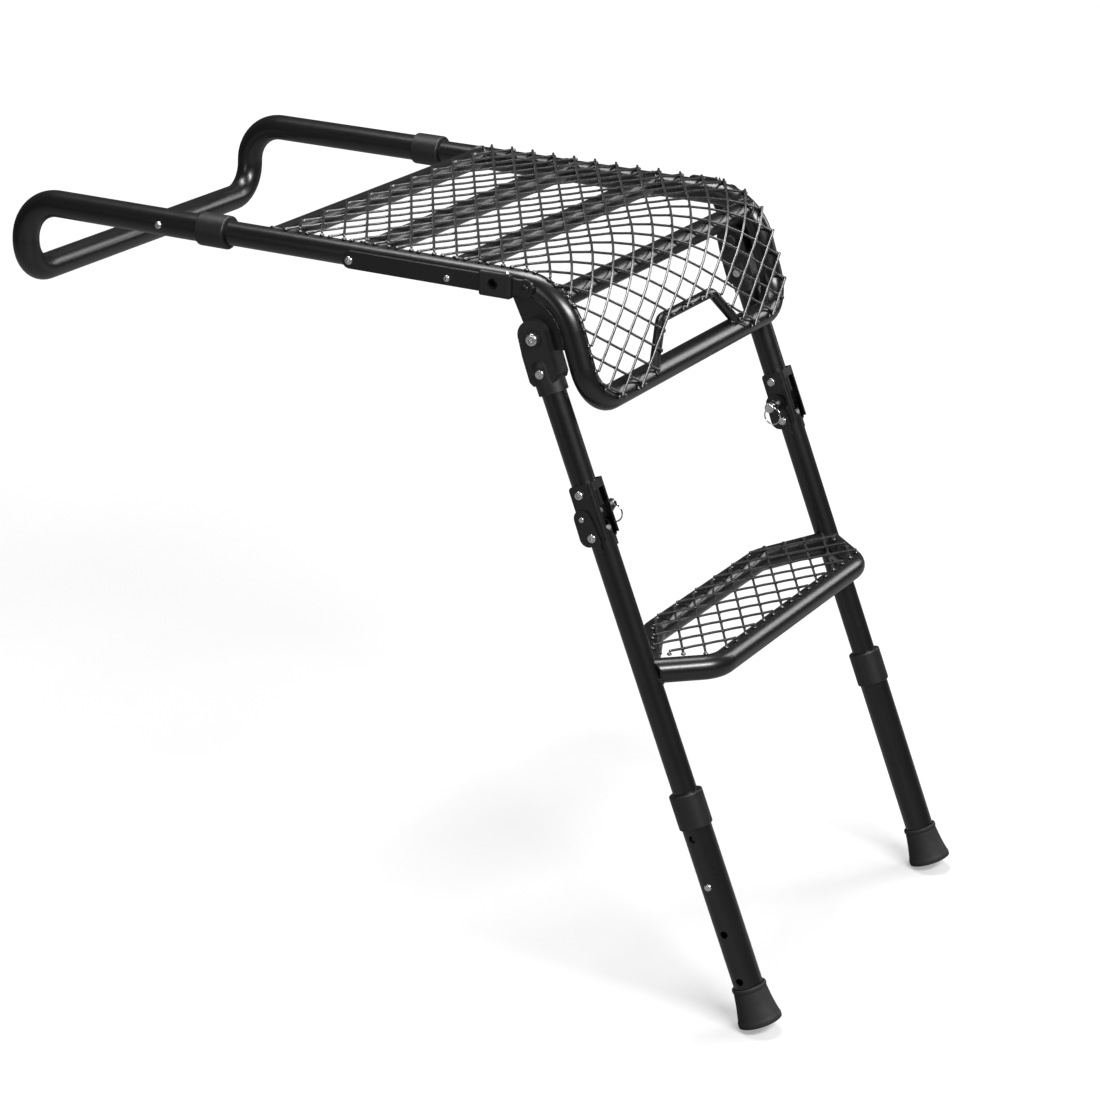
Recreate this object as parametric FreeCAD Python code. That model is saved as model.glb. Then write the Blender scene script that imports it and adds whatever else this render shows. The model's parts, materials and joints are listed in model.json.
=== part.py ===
import FreeCAD, Part
import math
import os

# A work platform that hooks over a vehicle's tyre: a tube frame with a wire mesh
# top, two folding telescoping legs joined by a mesh step, and a hook frame behind.
#
# Units are mm. X runs across (left is -X for a person facing the vehicle), Y towards
# the vehicle, Z up. The origin is on the floor under the middle of the object.
# "Front" is the user's side (-Y), "rear" the vehicle's side (+Y). The shapes are
# drawn from the line of the feet and moved to the origin when they are written.

Vec = FreeCAD.Vector
ORIGIN = Vec(0, 0, 0)
ACROSS = Vec(1, 0, 0)
UP = Vec(0, 0, 1)

os.makedirs("parts", exist_ok=True)

# ---------------------------------------------------------------- shared dimensions
MID_Y = 450.0            # middle of the object, measured back from the foot line
FLOOR_LIFT = 4.4         # raises the drawn frame so that the floor is at Z = 0

TUBE_R = 12.7            # main tube, 25.4 mm
TUBE_WALL = 1.8
TUBE_BORE = TUBE_R - TUBE_WALL
FIT = 0.02               # clearance of a close fit
RUNNING_GAP = 0.08       # clearance of a part that slides on the main tube
RUNNING_BORE = TUBE_R + RUNNING_GAP

RAIL_X = 214.7           # half spacing of the platform rails
RAIL_Z = 734.4           # height of the rail axes
RAIL_END_Y = 752.0       # rear end of the rails, inside the arm tubes
NOSE_R = 60.0            # bend from the rail down into the nose
NOSE_SLOPE = math.radians(71.4)
NOSE_SIN, NOSE_COS = math.sin(NOSE_SLOPE), math.cos(NOSE_SLOPE)
NOSE_Y, NOSE_Z = 216.2, 620.5                                    # axis of the front crossbar
VERTEX_Y = NOSE_Y + (RAIL_Z - NOSE_Z) * NOSE_COS / NOSE_SIN      # rail and nose lines meet
BEND_Y = VERTEX_Y + NOSE_R * math.tan(NOSE_SLOPE / 2)            # centre of the nose bend
BEND_Z = RAIL_Z - NOSE_R
CORNER_R = 38.0          # bend from the nose into the crossbar

WIRE_R = 1.35            # mesh wire
MESH_ANGLE = math.radians(31.1)
MESH_PITCH = 43.7        # spacing of the wires along X

# Stations ("_AT") are distances along the leg axis from the foot line.
LEG_X = 222.0            # half spacing of the legs
LEAN = math.radians(22.1)
LEAN_SIN, LEAN_COS = math.sin(LEAN), math.cos(LEAN)
PIVOT_AT = 737.6         # leg pivot
PIVOT_W = -4.0           # its offset square to the axis; negative is towards the user
TOP_SCREW_AT = 576.6     # screw of the upper hinge bracket
LOCK_AT = 552.6          # lock plunger
HINGE_AT = 532.3         # fold hinge bolt
BUTTON_AT = 157.6        # leg snap button
INNER_END_AT = 131.0     # lower end of the tube inside the foot sleeve

ARM_R = 14.35            # arm tube that slides over the rail
ARM_FRONT_Y = 646.0
ARM_BUTTON_Y = 722.0
COLLAR_R, COLLAR_ROUNDING = 17.5, 1.6
BUTTON_R, BUTTON_RISE = 3.95, 2.4        # snap button, and its height over the outer tube
BUTTON_HOLE_R = 4.05


# ---------------------------------------------------------------- helpers
def cyl(base, direction, radius, length):
    return Part.makeCylinder(radius, length, base, direction)


def rod_x(x, y, z, radius, length):
    """A cylinder that starts at the point and runs towards +X."""
    return cyl(Vec(x, y, z), ACROSS, radius, length)


def rod_up(z, radius, length):
    """A cylinder on the Z axis, which is the leg axis in leg coordinates."""
    return cyl(Vec(0, 0, z), UP, radius, length)


def box(x0, y0, z0, x1, y1, z1):
    return Part.makeBox(x1 - x0, y1 - y0, z1 - z0, Vec(x0, y0, z0))


def prism(points, direction):
    """The polygon through the points, extruded along a vector."""
    return Part.Face(Part.makePolygon(points + [points[0]])).extrude(direction)


def hex_prism(x, y, z, radius, depth):
    """A hexagonal prism that runs towards +X; the radius reaches its corners."""
    angles = [math.radians(60 * k) for k in range(6)]
    points = [Vec(x, y + radius * math.cos(a), z + radius * math.sin(a)) for a in angles]
    return prism(points, Vec(depth, 0, 0))


def fillet_path(points, radii):
    """Lines and tangent arcs through 3-D points; radii belong to the inner points."""
    edges = []
    last = points[0]
    for corner, before, after, radius in zip(points[1:], points, points[2:], radii):
        back, ahead = before - corner, after - corner
        back.normalize()
        ahead.normalize()
        half = math.acos(max(-1.0, min(1.0, back.dot(ahead)))) / 2.0
        setback = radius / math.tan(half)
        arc_start, arc_end = corner + back * setback, corner + ahead * setback
        bisector = back + ahead
        bisector.normalize()
        arc_mid = corner + bisector * (radius / math.sin(half) - radius)
        if (arc_start - last).Length > 1e-6:
            edges.append(Part.makeLine(last, arc_start))
        edges.append(Part.Arc(arc_start, arc_mid, arc_end).toShape())
        last = arc_end
    edges.append(Part.makeLine(last, points[-1]))
    return Part.Wire(edges)


def sweep_round(points, radii, radius):
    """A solid round bar along a filleted path."""
    profile = Part.Wire([Part.makeCircle(radius, points[0], points[1] - points[0])])
    return fillet_path(points, radii).makePipeShell([profile], True, True)


def round_edges(shape, radius, pick=None):
    """Fillet the picked edges, or all of them."""
    edges = [edge for edge in shape.Edges if pick is None or pick(edge)]
    # guards against selections the kernel can't fillet: the shape then stays sharp
    try:
        out = shape.makeFillet(radius, edges)
        return out if out.isValid() and out.Volume > 0 else shape
    except Exception:
        return shape


def round_rims(shape, radius, *x_faces):
    """Fillet the edges that lie in planes of constant x."""
    def on_face(edge):
        bounds = edge.BoundBox
        return bounds.XLength < 1e-3 and any(abs(bounds.XMin - x) < 1e-3 for x in x_faces)
    return round_edges(shape, radius, on_face)


def round_from(shape, radius, x):
    """Fillet every edge whose lowest x is the given one, also those running along X."""
    return round_edges(shape, radius, lambda edge: abs(edge.BoundBox.XMin - x) < 1e-3)


def largest(shape):
    return max(shape.Solids, key=lambda solid: solid.Volume)


def mirror(shape):
    return shape.mirror(ORIGIN, ACROSS)


def save(name, *shapes):
    """Write all solids of the shapes as one piece."""
    solids = [solid for shape in shapes for solid in shape.Solids]
    piece = solids[0] if len(solids) == 1 else Part.makeCompound(solids)
    piece = piece.copy()
    piece.translate(Vec(0, -MID_Y, FLOOR_LIFT))
    piece.exportStep("parts/%s.step" % name)


def save_pair(name, left_shape):
    """Two files: the left piece as built, the right one mirrored."""
    save(name + "_left", left_shape)
    save(name + "_right", mirror(left_shape))


def save_both(name, *left_shapes):
    """One file with the left shapes and their mirror images."""
    save(name, *left_shapes, *[mirror(shape) for shape in left_shapes])


def axis_point(station, offset=0.0):
    """A point at a station of the left leg; offset is square to the axis, to the vehicle."""
    return Vec(-LEG_X,
               station * LEAN_SIN + offset * LEAN_COS,
               station * LEAN_COS - offset * LEAN_SIN)


def on_leg(shape):
    """Move a shape from leg coordinates onto the left leg.

    In leg coordinates x runs across (negative is outboard), y square to the leg
    towards the vehicle, and z up along the leg axis, where it is the station."""
    matrix = FreeCAD.Matrix(
        1, 0, 0, -LEG_X,
        0, LEAN_COS, LEAN_SIN, 0,
        0, -LEAN_SIN, LEAN_COS, 0,
        0, 0, 0, 1,
    )
    placed = shape.copy()
    placed.Placement = FreeCAD.Placement(matrix).multiply(placed.Placement)
    return placed


def cross_hole(station, radius):
    """Cutter through both walls of a leg part."""
    return rod_x(-40, 0, station, radius, 80)


def outboard_hole(station, radius, y=0):
    """Cutter through the outboard wall of a leg part."""
    return rod_x(-40, y, station, radius, 40)


def inboard_hole(station, radius):
    """Cutter through the inboard wall of a leg part."""
    return rod_x(0, 0, station, radius, 40)


def headed_pin(station, half_length, shank_r, head_r, head_height, rounding):
    """A cross pin with a domed head at each end (leg coordinates)."""
    shank = rod_x(-half_length - 0.02, 0, station, shank_r, 2 * half_length + 0.04)
    head_x = -half_length - head_height
    head = rod_x(head_x, 0, station, head_r, head_height - 0.02)
    head = round_rims(head, rounding, head_x)
    return shank.fuse(head).fuse(mirror(head)).removeSplitter()


def snap_button(axis_x, y, z, outer_r):
    """A domed pin in the outboard wall hole of an outer tube with the given radius."""
    tip_x = axis_x - outer_r - BUTTON_RISE
    button = rod_x(tip_x, y, z, BUTTON_R, outer_r + BUTTON_RISE - RUNNING_BORE)
    return round_rims(button, 2.0, tip_x)


def leaf_spring():
    """A folded leaf spring: two strips joined by a round end. Its open end is at z = 0."""
    length, half_width = 34, 3.5
    # (x, z) up the outer side and over the fold, then back along the inner side
    outline = [
        (-7.4, 0), (-6.0, length), (-4.0, length + 3.2), (0, length + 4.6),
        (4.0, length + 3.2), (6.0, length), (8.2, 0),
        (7.4, 0), (5.2, length), (3.5, length + 2.6), (0, length + 3.8),
        (-3.5, length + 2.6), (-5.2, length), (-6.6, 0),
    ]
    spring = prism([Vec(x, 0, z) for x, z in outline], Vec(0, 2 * half_width, 0))
    spring.translate(Vec(0, -half_width, 0))
    return spring


def cut_arm_button_holes(shape, radius):
    """Holes for the arm snap buttons in the outboard walls."""
    for side in (-1, 1):
        base = Vec(side * RAIL_X, ARM_BUTTON_Y, RAIL_Z)
        shape = shape.cut(cyl(base, Vec(side, 0, 0), radius, 20))
    return shape


# ---------------------------------------------------------------- platform frame
FRAME_POINTS = [
    Vec(-RAIL_X, RAIL_END_Y, RAIL_Z),
    Vec(-RAIL_X, VERTEX_Y, RAIL_Z),
    Vec(-RAIL_X, NOSE_Y, NOSE_Z),
    Vec(RAIL_X, NOSE_Y, NOSE_Z),
    Vec(RAIL_X, VERTEX_Y, RAIL_Z),
    Vec(RAIL_X, RAIL_END_Y, RAIL_Z),
]
FRAME_RADII = [NOSE_R, CORNER_R, CORNER_R, NOSE_R]
FRAME_SOLID = sweep_round(FRAME_POINTS, FRAME_RADII, TUBE_R)     # also cuts what meets it

CROSS_R = 11.1           # 22.2 mm cross tubes under the platform mesh
CROSS_WALL = 1.6
CROSS_Z = RAIL_Z + TUBE_R - CROSS_R      # tops flush with the rails
REAR_CROSS_Y = 590.0
MIDDLE_CROSS_Y = (482.0, 374.0)
NOSE_CROSS_ANGLE = math.radians(39.0)    # place of the nose cross tube round the bend

# Hand hold in the nose; heights are measured up the slope from the crossbar axis.
HOLD_ROD_R = 5.4
HOLD_TOP = 49.5
HOLD_LEFT, HOLD_RIGHT = -54.0, 62.0      # ends of its top
HOLD_SPREAD = 0.91                       # sideways spread of the sides per mm down


def platform_frame():
    frame = FRAME_SOLID.cut(sweep_round(FRAME_POINTS, FRAME_RADII, TUBE_BORE))
    return cut_arm_button_holes(frame, 4.1)


def cross_tube(y, z):
    """A tube between the rails, coped onto them."""
    tube = rod_x(-RAIL_X, y, z, CROSS_R, 2 * RAIL_X)
    tube = tube.cut(rod_x(-RAIL_X, y, z, CROSS_R - CROSS_WALL, 2 * RAIL_X))
    return largest(tube.cut(FRAME_SOLID))


def nose_cross_tube():
    radius = NOSE_R + TUBE_R - CROSS_R
    return cross_tube(BEND_Y - radius * math.sin(NOSE_CROSS_ANGLE),
                      BEND_Z + radius * math.cos(NOSE_CROSS_ANGLE))


def hand_hold_rod():
    """The bent rod round the hand hold, welded to the crossbar under the mesh."""
    outward = TUBE_R - HOLD_ROD_R
    foot = 3
    reach = HOLD_SPREAD * (HOLD_TOP - foot)
    corners = [       # x, height up the slope
        (HOLD_LEFT - reach, foot), (HOLD_LEFT, HOLD_TOP),
        (HOLD_RIGHT, HOLD_TOP), (HOLD_RIGHT + reach, foot),
    ]
    points = [Vec(x,
                  NOSE_Y + height * NOSE_COS - outward * NOSE_SIN,
                  NOSE_Z + height * NOSE_SIN + outward * NOSE_COS) for x, height in corners]
    return largest(sweep_round(points, [14, 14], HOLD_ROD_R).cut(FRAME_SOLID))


save("platform_frame", platform_frame())
save("rear_cross_tube", cross_tube(REAR_CROSS_Y, CROSS_Z))
save("middle_cross_tubes", *[cross_tube(y, CROSS_Z) for y in MIDDLE_CROSS_Y])
save("nose_cross_tube", nose_cross_tube())
save("hand_hold_rod", hand_hold_rod())

# ---------------------------------------------------------------- platform wire mesh
# "run" is the distance along the mesh from its rear edge to the crossbar: flat, then
# round the nose bend, then down the slope.
MESH_BACK_Y = 576.6
MESH_HALF = RAIL_X + 1.5
MESH_BEND_R = NOSE_R + TUBE_R + WIRE_R
FLAT_RUN = MESH_BACK_Y - BEND_Y
BEND_RUN = NOSE_SLOPE * MESH_BEND_R
SLOPE_RUN = (RAIL_Z - NOSE_R + NOSE_R * NOSE_COS - NOSE_Z) / NOSE_SIN
CROSSBAR_RUN = FLAT_RUN + BEND_RUN + SLOPE_RUN
MESH_RUN = CROSSBAR_RUN + 3.0
RUN_STEP = 1.0           # step at which a wire is tested against the mesh outline
SHORTEST_WIRE = 9
BEND_MARGIN = 4.0        # a wire reaching less than this into the bend stays straight
LOFT_TOLERANCE = 0.02    # allowed volume error of a lofted wire, as a fraction


def mesh_point(x, run, height):
    """A point over the mid surface of the frame at the given height."""
    if run <= FLAT_RUN:
        return Vec(x, MESH_BACK_Y - run, RAIL_Z + height)
    radius = NOSE_R + height
    angle = (run - FLAT_RUN) / MESH_BEND_R
    if angle <= NOSE_SLOPE:
        return Vec(x, BEND_Y - radius * math.sin(angle), BEND_Z + radius * math.cos(angle))
    rest = run - FLAT_RUN - BEND_RUN
    return Vec(x,
               BEND_Y - radius * NOSE_SIN - rest * NOSE_COS,
               BEND_Z + radius * NOSE_COS - rest * NOSE_SIN)


def in_hand_hold(x, run):
    height = CROSSBAR_RUN - run
    if height > HOLD_TOP - 1.5:
        return False
    spread = HOLD_SPREAD * (HOLD_TOP - height)
    return HOLD_LEFT - spread + 1.0 < x < HOLD_RIGHT + spread - 1.0


def past_corner(x, run):
    """Outside the rounded lower corners of the frame."""
    height = CROSSBAR_RUN - run
    corner_x = RAIL_X - CORNER_R
    if abs(x) > corner_x and height < CORNER_R:
        return math.hypot(abs(x) - corner_x, CORNER_R - height) > CORNER_R + 1.5
    return False


def wire_stretches(start_x, slope):
    """Stretches of one wire that lie on the mesh, as (first run, last run)."""
    stretches, first, run = [], None, 0.0
    while run <= MESH_RUN + 1e-9:
        x = start_x + slope * run
        inside = abs(x) <= MESH_HALF and not in_hand_hold(x, run) and not past_corner(x, run)
        if inside and first is None:
            first = run
        if not inside and first is not None:
            stretches.append((first, run - RUN_STEP))
            first = None
        run += RUN_STEP
    if first is not None:
        stretches.append((first, run - RUN_STEP))
    return [(first, last) for first, last in stretches if last - first > SHORTEST_WIRE]


def straight_wire(start, end):
    return cyl(start, end - start, WIRE_R, (end - start).Length)


def path_directions(points):
    """The direction at each point, from its neighbours; not unit length."""
    last = len(points) - 1
    return [points[min(i + 1, last)] - points[max(i - 1, 0)] for i in range(len(points))]


def lofted_wire(points):
    rings = [Part.Wire([Part.makeCircle(WIRE_R, point, direction)])
             for point, direction in zip(points, path_directions(points))]
    return Part.makeLoft(rings, True, True)


def faceted_wire(points):
    """A twelve-sided wire built from triangles."""
    sides = 12
    rings = []
    for point, direction in zip(points, path_directions(points)):
        direction.normalize()
        side = Vec(1, 0, 0) - direction * direction.x
        side.normalize()
        other = direction.cross(side)
        angles = [2 * math.pi * k / sides for k in range(sides)]
        rings.append([point + side * (WIRE_R * math.cos(angle))
                      + other * (WIRE_R * math.sin(angle)) for angle in angles])
    outlines = []
    for ring, following in zip(rings, rings[1:]):
        for k in range(sides):
            n = (k + 1) % sides
            outlines.append([ring[k], ring[n], following[n]])
            outlines.append([ring[k], following[n], following[k]])
    outlines += [rings[0][::-1], rings[-1]]
    faces = [Part.Face(Part.makePolygon(outline + [outline[0]])) for outline in outlines]
    solid = Part.makeSolid(Part.makeShell(faces))
    if solid.Volume < 0:
        solid.reverse()
    return solid


def mesh_wire(start_x, slope, first, last, height):
    def point_at(run):
        return mesh_point(start_x + slope * run, run, height)

    if last <= FLAT_RUN + BEND_MARGIN or first >= FLAT_RUN + BEND_RUN - BEND_MARGIN:
        return straight_wire(point_at(first), point_at(last))
    # a loft may come out distorted, so its volume decides whether it is used
    for bend_parts in (9, 8):
        bend_runs = [FLAT_RUN + BEND_RUN * k / bend_parts for k in range(bend_parts + 1)]
        inner = [run for run in bend_runs if first + BEND_MARGIN < run < last - BEND_MARGIN]
        points = [point_at(run) for run in [first] + inner + [last]]
        if len(points) == 2:
            return straight_wire(*points)
        length = sum((end - start).Length for start, end in zip(points, points[1:]))
        solid = lofted_wire(points)
        if abs(solid.Volume / (math.pi * WIRE_R ** 2 * length) - 1.0) < LOFT_TOLERANCE:
            return solid
    return faceted_wire(points)


def mesh_layer(sign, shift, height):
    """Parallel wires; sign sets their slant, shift their start across the rear edge."""
    slope = sign / math.tan(MESH_ANGLE)
    count = int((abs(slope) * MESH_RUN + MESH_HALF) / MESH_PITCH) + 2
    wires = []
    for k in range(-count, count + 1):
        start_x = (k + 0.5) * MESH_PITCH + shift
        for first, last in wire_stretches(start_x, slope):
            wires.append(mesh_wire(start_x, slope, first, last, height))
    return wires


save("platform_mesh_lower_wires",
     *mesh_layer(sign=1, shift=19.85, height=TUBE_R + WIRE_R + 0.10))
save("platform_mesh_upper_wires",
     *mesh_layer(sign=-1, shift=14.65, height=TUBE_R + 3 * WIRE_R + 0.42))

# ---------------------------------------------------------------- gussets and leg pivots
PIVOT = axis_point(PIVOT_AT, PIVOT_W)
PLATE_T = 4.0
SOCKET_HALF = 12.5                       # half width of the leg socket
SOCKET_OUT_X = -LEG_X - SOCKET_HALF      # its outboard face
SOCKET_IN_X = -LEG_X + SOCKET_HALF       # its inboard face
PIVOT_HOLE_R = 5.06


def pivot_rod(x, radius, length):
    """A cylinder on the left pivot axis that starts at x and runs inboard."""
    return rod_x(x, PIVOT.y, PIVOT.z, radius, length)


def gusset_plate():
    """The plate under the rail that carries the leg pivot."""
    outline = [       # y, z
        (PIVOT.y + 15.0, PIVOT.z - 5), (PIVOT.y + 16.5, PIVOT.z + 10),
        (PIVOT.y + 33, RAIL_Z - 6), (VERTEX_Y + 20, RAIL_Z - 6), (VERTEX_Y - 8, RAIL_Z - 30),
        (NOSE_Y + (PIVOT.z - 8 - NOSE_Z) * NOSE_COS / NOSE_SIN, PIVOT.z - 8),
        (PIVOT.y - 9, PIVOT.z - 12.5),
    ]
    plate_x = -LEG_X - PLATE_T / 2
    plate = prism([Vec(plate_x, y, z) for y, z in outline], Vec(PLATE_T, 0, 0))
    plate = plate.fuse(pivot_rod(plate_x, 15.8, PLATE_T)).removeSplitter()
    plate = largest(plate.cut(FRAME_SOLID))
    return plate.cut(pivot_rod(-LEG_X - 10, 5.05, 20))


def pivot_bolt():
    under_head_x = SOCKET_OUT_X - 1.6
    head_height = 4.2
    head_x = under_head_x - head_height
    bolt = pivot_rod(under_head_x, 5.0, 2 * SOCKET_HALF + 5.6)
    head = round_from(pivot_rod(head_x, 6.4, head_height), 2.2, head_x)
    recess = hex_prism(head_x - 0.4, PIVOT.y, PIVOT.z, 3.0, 3.0)
    return bolt.fuse(head).removeSplitter().cut(recess)


def pivot_nut():
    """A domed nut, blind at its inboard end."""
    nut_x, nut_height = SOCKET_IN_X + 0.05, 6.4
    nut = round_rims(pivot_rod(nut_x, 7.6, nut_height), 2.0, nut_x + nut_height)
    return nut.cut(pivot_rod(-LEG_X, 5.04, SOCKET_HALF + 4.2))


def pivot_washer():
    washer = pivot_rod(SOCKET_OUT_X - 1.55, 8.6, 1.5)
    return washer.cut(pivot_rod(SOCKET_OUT_X - 2, PIVOT_HOLE_R, 3))


save_pair("gusset_plate", gusset_plate())
save_both("pivot_bolts", pivot_bolt())
save_both("pivot_nuts", pivot_nut())
save_both("pivot_washers", pivot_washer())

# ---------------------------------------------------------------- side bars
BAR_T = 4.0
BAR_IN_X = -RAIL_X - TUBE_R - 0.02       # inboard face, beside the rail
BAR_OUT_X = BAR_IN_X - BAR_T
BAR_Z, BAR_HALF = 732.4, 9.0
BAR_END_Y = 487.9                        # centre of the rounded rear end
EYE_Y, EYE_Z, EYE_R = 285.9, 733.0, 9.0
NECK_Y, NECK_HALF = 298, 8.0             # the bar is narrower in front of here
BAR_HOLE_Y, BAR_HOLE_Z = 320, BAR_Z + 1.2
BLOCK_TOP = 746.0
BLOCK_OUT_X = BAR_OUT_X - 4.2
BAR_SCREWS = [(BAR_END_Y, BAR_Z - 0.4, 4.4), (373.7, BAR_Z - 1.6, 3.5)]     # y, z, head radius


def side_bar():
    """A flat bar along the rail with a rounded rear end and an eye at the front."""
    bar = box(BAR_OUT_X, EYE_Y, BAR_Z - BAR_HALF, BAR_IN_X, BAR_END_Y, BAR_Z + BAR_HALF)
    bar = bar.fuse(rod_x(BAR_OUT_X, BAR_END_Y, BAR_Z, BAR_HALF, BAR_T))
    bar = bar.cut(box(BAR_IN_X - 20, 270, BAR_Z - 30, BAR_IN_X + 5, NECK_Y, BAR_Z + 30))
    bar = bar.fuse(box(BAR_OUT_X, EYE_Y, EYE_Z - NECK_HALF,
                       BAR_IN_X, NECK_Y + 1, EYE_Z + NECK_HALF))
    bar = bar.fuse(rod_x(BAR_OUT_X, EYE_Y, EYE_Z, EYE_R, BAR_T)).removeSplitter()
    holes = [(EYE_Y, EYE_Z, 2.6)]
    holes += [(y, z, 2.55) for y, z, _ in BAR_SCREWS]
    holes += [(BAR_HOLE_Y, BAR_HOLE_Z, 4.6)]
    for y, z, radius in holes:
        bar = bar.cut(rod_x(BAR_IN_X - 20, y, z, radius, 30))
    return bar


def bar_block():
    """A block with rounded outboard edges that encloses the bar behind the eye."""
    gap = 0.05
    block = box(BLOCK_OUT_X, 300.5, 720.5, BAR_IN_X - 0.2, 336, BLOCK_TOP)
    block = round_from(block, 2.2, BLOCK_OUT_X)
    block = block.cut(box(BAR_OUT_X - 0.04, 290, BAR_Z - BAR_HALF - gap,
                          BAR_IN_X + 5, 340, BAR_Z + BAR_HALF + gap))
    block = block.cut(rod_x(BAR_IN_X - 20, BAR_HOLE_Y, BAR_HOLE_Z, 5.75, 30))
    return largest(block.cut(FRAME_SOLID))


def bar_screw(y, z, head_r, head_height=2.6):
    """A screw with its head on the bar's outboard face and its shank in the bar."""
    head_x = BAR_OUT_X - head_height
    head = rod_x(head_x, y, z, head_r, head_height)
    head = round_rims(head, min(head_height * 0.7, head_r * 0.45), head_x)
    shank = rod_x(BAR_OUT_X - 0.01, y, z, 2.5, BAR_T - 0.05)
    recess = hex_prism(head_x - 0.5, y, z, head_r * 0.42, head_height * 0.75 + 0.5)
    return head.fuse(shank).removeSplitter().cut(recess)


def block_rivet():
    """A half-round head on top of the block."""
    centre = Vec(BAR_OUT_X - 2.0, 304.5, BLOCK_TOP + FIT)
    return Part.makeSphere(2.6, centre, UP, 0, 90, 360)


save_pair("side_bar", side_bar())
save_pair("bar_block", bar_block())
save_both("eye_screws", bar_screw(EYE_Y, EYE_Z, head_r=4.2, head_height=1.6))
save_both("side_bar_screws", *[bar_screw(*screw) for screw in BAR_SCREWS], block_rivet())

# ---------------------------------------------------------------- upper legs
BARREL_R = 15.0
SOCKET_TOP_R = 15.6
SOCKET_TOP_W = -3.0                      # offset of the rounded top, towards the user
SOCKET_TOP_AT = PIVOT_AT + 3.2
SOCKET_BOTTOM_AT = PIVOT_AT - 57.0
SHOULDER_AT = PIVOT_AT - 46.0
TUBE_TOP_AT = PIVOT_AT - 24.0
SOCKET_RIVET_AT = PIVOT_AT - 35.0
UPPER_END_AT = HINGE_AT + 28.0           # lower end of the upper leg tube
SOCKET_RIVET_HOLE_R = 3.0
TOP_SCREW_HOLE_R = 3.05
HINGE_HOLE_R = 3.06


def leg_socket():
    """The clevis on top of the leg, with a barrel round the tube."""
    outline = [       # y, station
        (-13.0, SHOULDER_AT), (12.5, SHOULDER_AT), (15.6, SHOULDER_AT + 5),
        (14.6, PIVOT_AT - 14), (SOCKET_TOP_W + SOCKET_TOP_R, SOCKET_TOP_AT),
        (SOCKET_TOP_W - SOCKET_TOP_R, SOCKET_TOP_AT), (-17.5, PIVOT_AT - 14),
        (-16.2, SHOULDER_AT + 5),
    ]
    width = 2 * SOCKET_HALF
    socket = prism([Vec(-SOCKET_HALF, y, z) for y, z in outline], Vec(width, 0, 0))
    top = rod_x(-SOCKET_HALF, SOCKET_TOP_W, SOCKET_TOP_AT, SOCKET_TOP_R, width)
    socket = socket.fuse(top).removeSplitter()
    socket = round_rims(socket, 2.2, -SOCKET_HALF, SOCKET_HALF)
    # the barrel with its domed top, and a raised rim at its mouth
    barrel = rod_up(SHOULDER_AT - 2, BARREL_R, 18)
    barrel = barrel.fuse(Part.makeSphere(BARREL_R, Vec(0, 0, SHOULDER_AT + 16)))
    socket = socket.fuse(barrel).removeSplitter()
    rim = rod_up(SOCKET_BOTTOM_AT, 15.4, SHOULDER_AT - SOCKET_BOTTOM_AT + 2)
    socket = socket.fuse(rim).removeSplitter()
    socket = socket.cut(rod_up(SOCKET_BOTTOM_AT - 1, TUBE_R + 0.05,
                               TUBE_TOP_AT - SOCKET_BOTTOM_AT + 1.05))
    # clevis slot for the gusset plate
    slot_half = 2.2
    slot = box(-slot_half, -40, PIVOT_AT, slot_half, 40, PIVOT_AT + 40)
    slot = slot.fuse(rod_x(-slot_half, PIVOT_W, PIVOT_AT, 22.0, 2 * slot_half))
    socket = socket.cut(slot)
    socket = socket.cut(rod_x(-40, PIVOT_W, PIVOT_AT, PIVOT_HOLE_R, 80))
    return largest(socket.cut(cross_hole(SOCKET_RIVET_AT, SOCKET_RIVET_HOLE_R)))


def upper_leg_tube():
    length = TUBE_TOP_AT - UPPER_END_AT
    tube = rod_up(UPPER_END_AT, TUBE_R, length).cut(rod_up(UPPER_END_AT, TUBE_BORE, length))
    tube = tube.cut(cross_hole(SOCKET_RIVET_AT, SOCKET_RIVET_HOLE_R))
    return tube.cut(cross_hole(TOP_SCREW_AT, TOP_SCREW_HOLE_R))


save_pair("leg_socket", on_leg(leg_socket()))
save_pair("upper_leg_tube", on_leg(upper_leg_tube()))
save_both("socket_rivets", on_leg(headed_pin(
    SOCKET_RIVET_AT, BARREL_R, shank_r=2.95, head_r=4.8, head_height=1.8, rounding=1.2)))

# ---------------------------------------------------------------- fold hinge
# The upper bracket's cheeks lie against the tubes and reach down to the hinge bolt;
# the lower bracket's cheeks lie outside them and reach up to the lock.
UPPER_CHEEK = (13.3, 15.3)               # inner and outer face of each cheek, from the axis
LOWER_CHEEK = (15.5, 17.5)
BRACKET_TOP_AT = TOP_SCREW_AT + 9.5
LOCK_RIVET_W = 5.0                       # offset of the lock rivet, towards the vehicle


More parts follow.
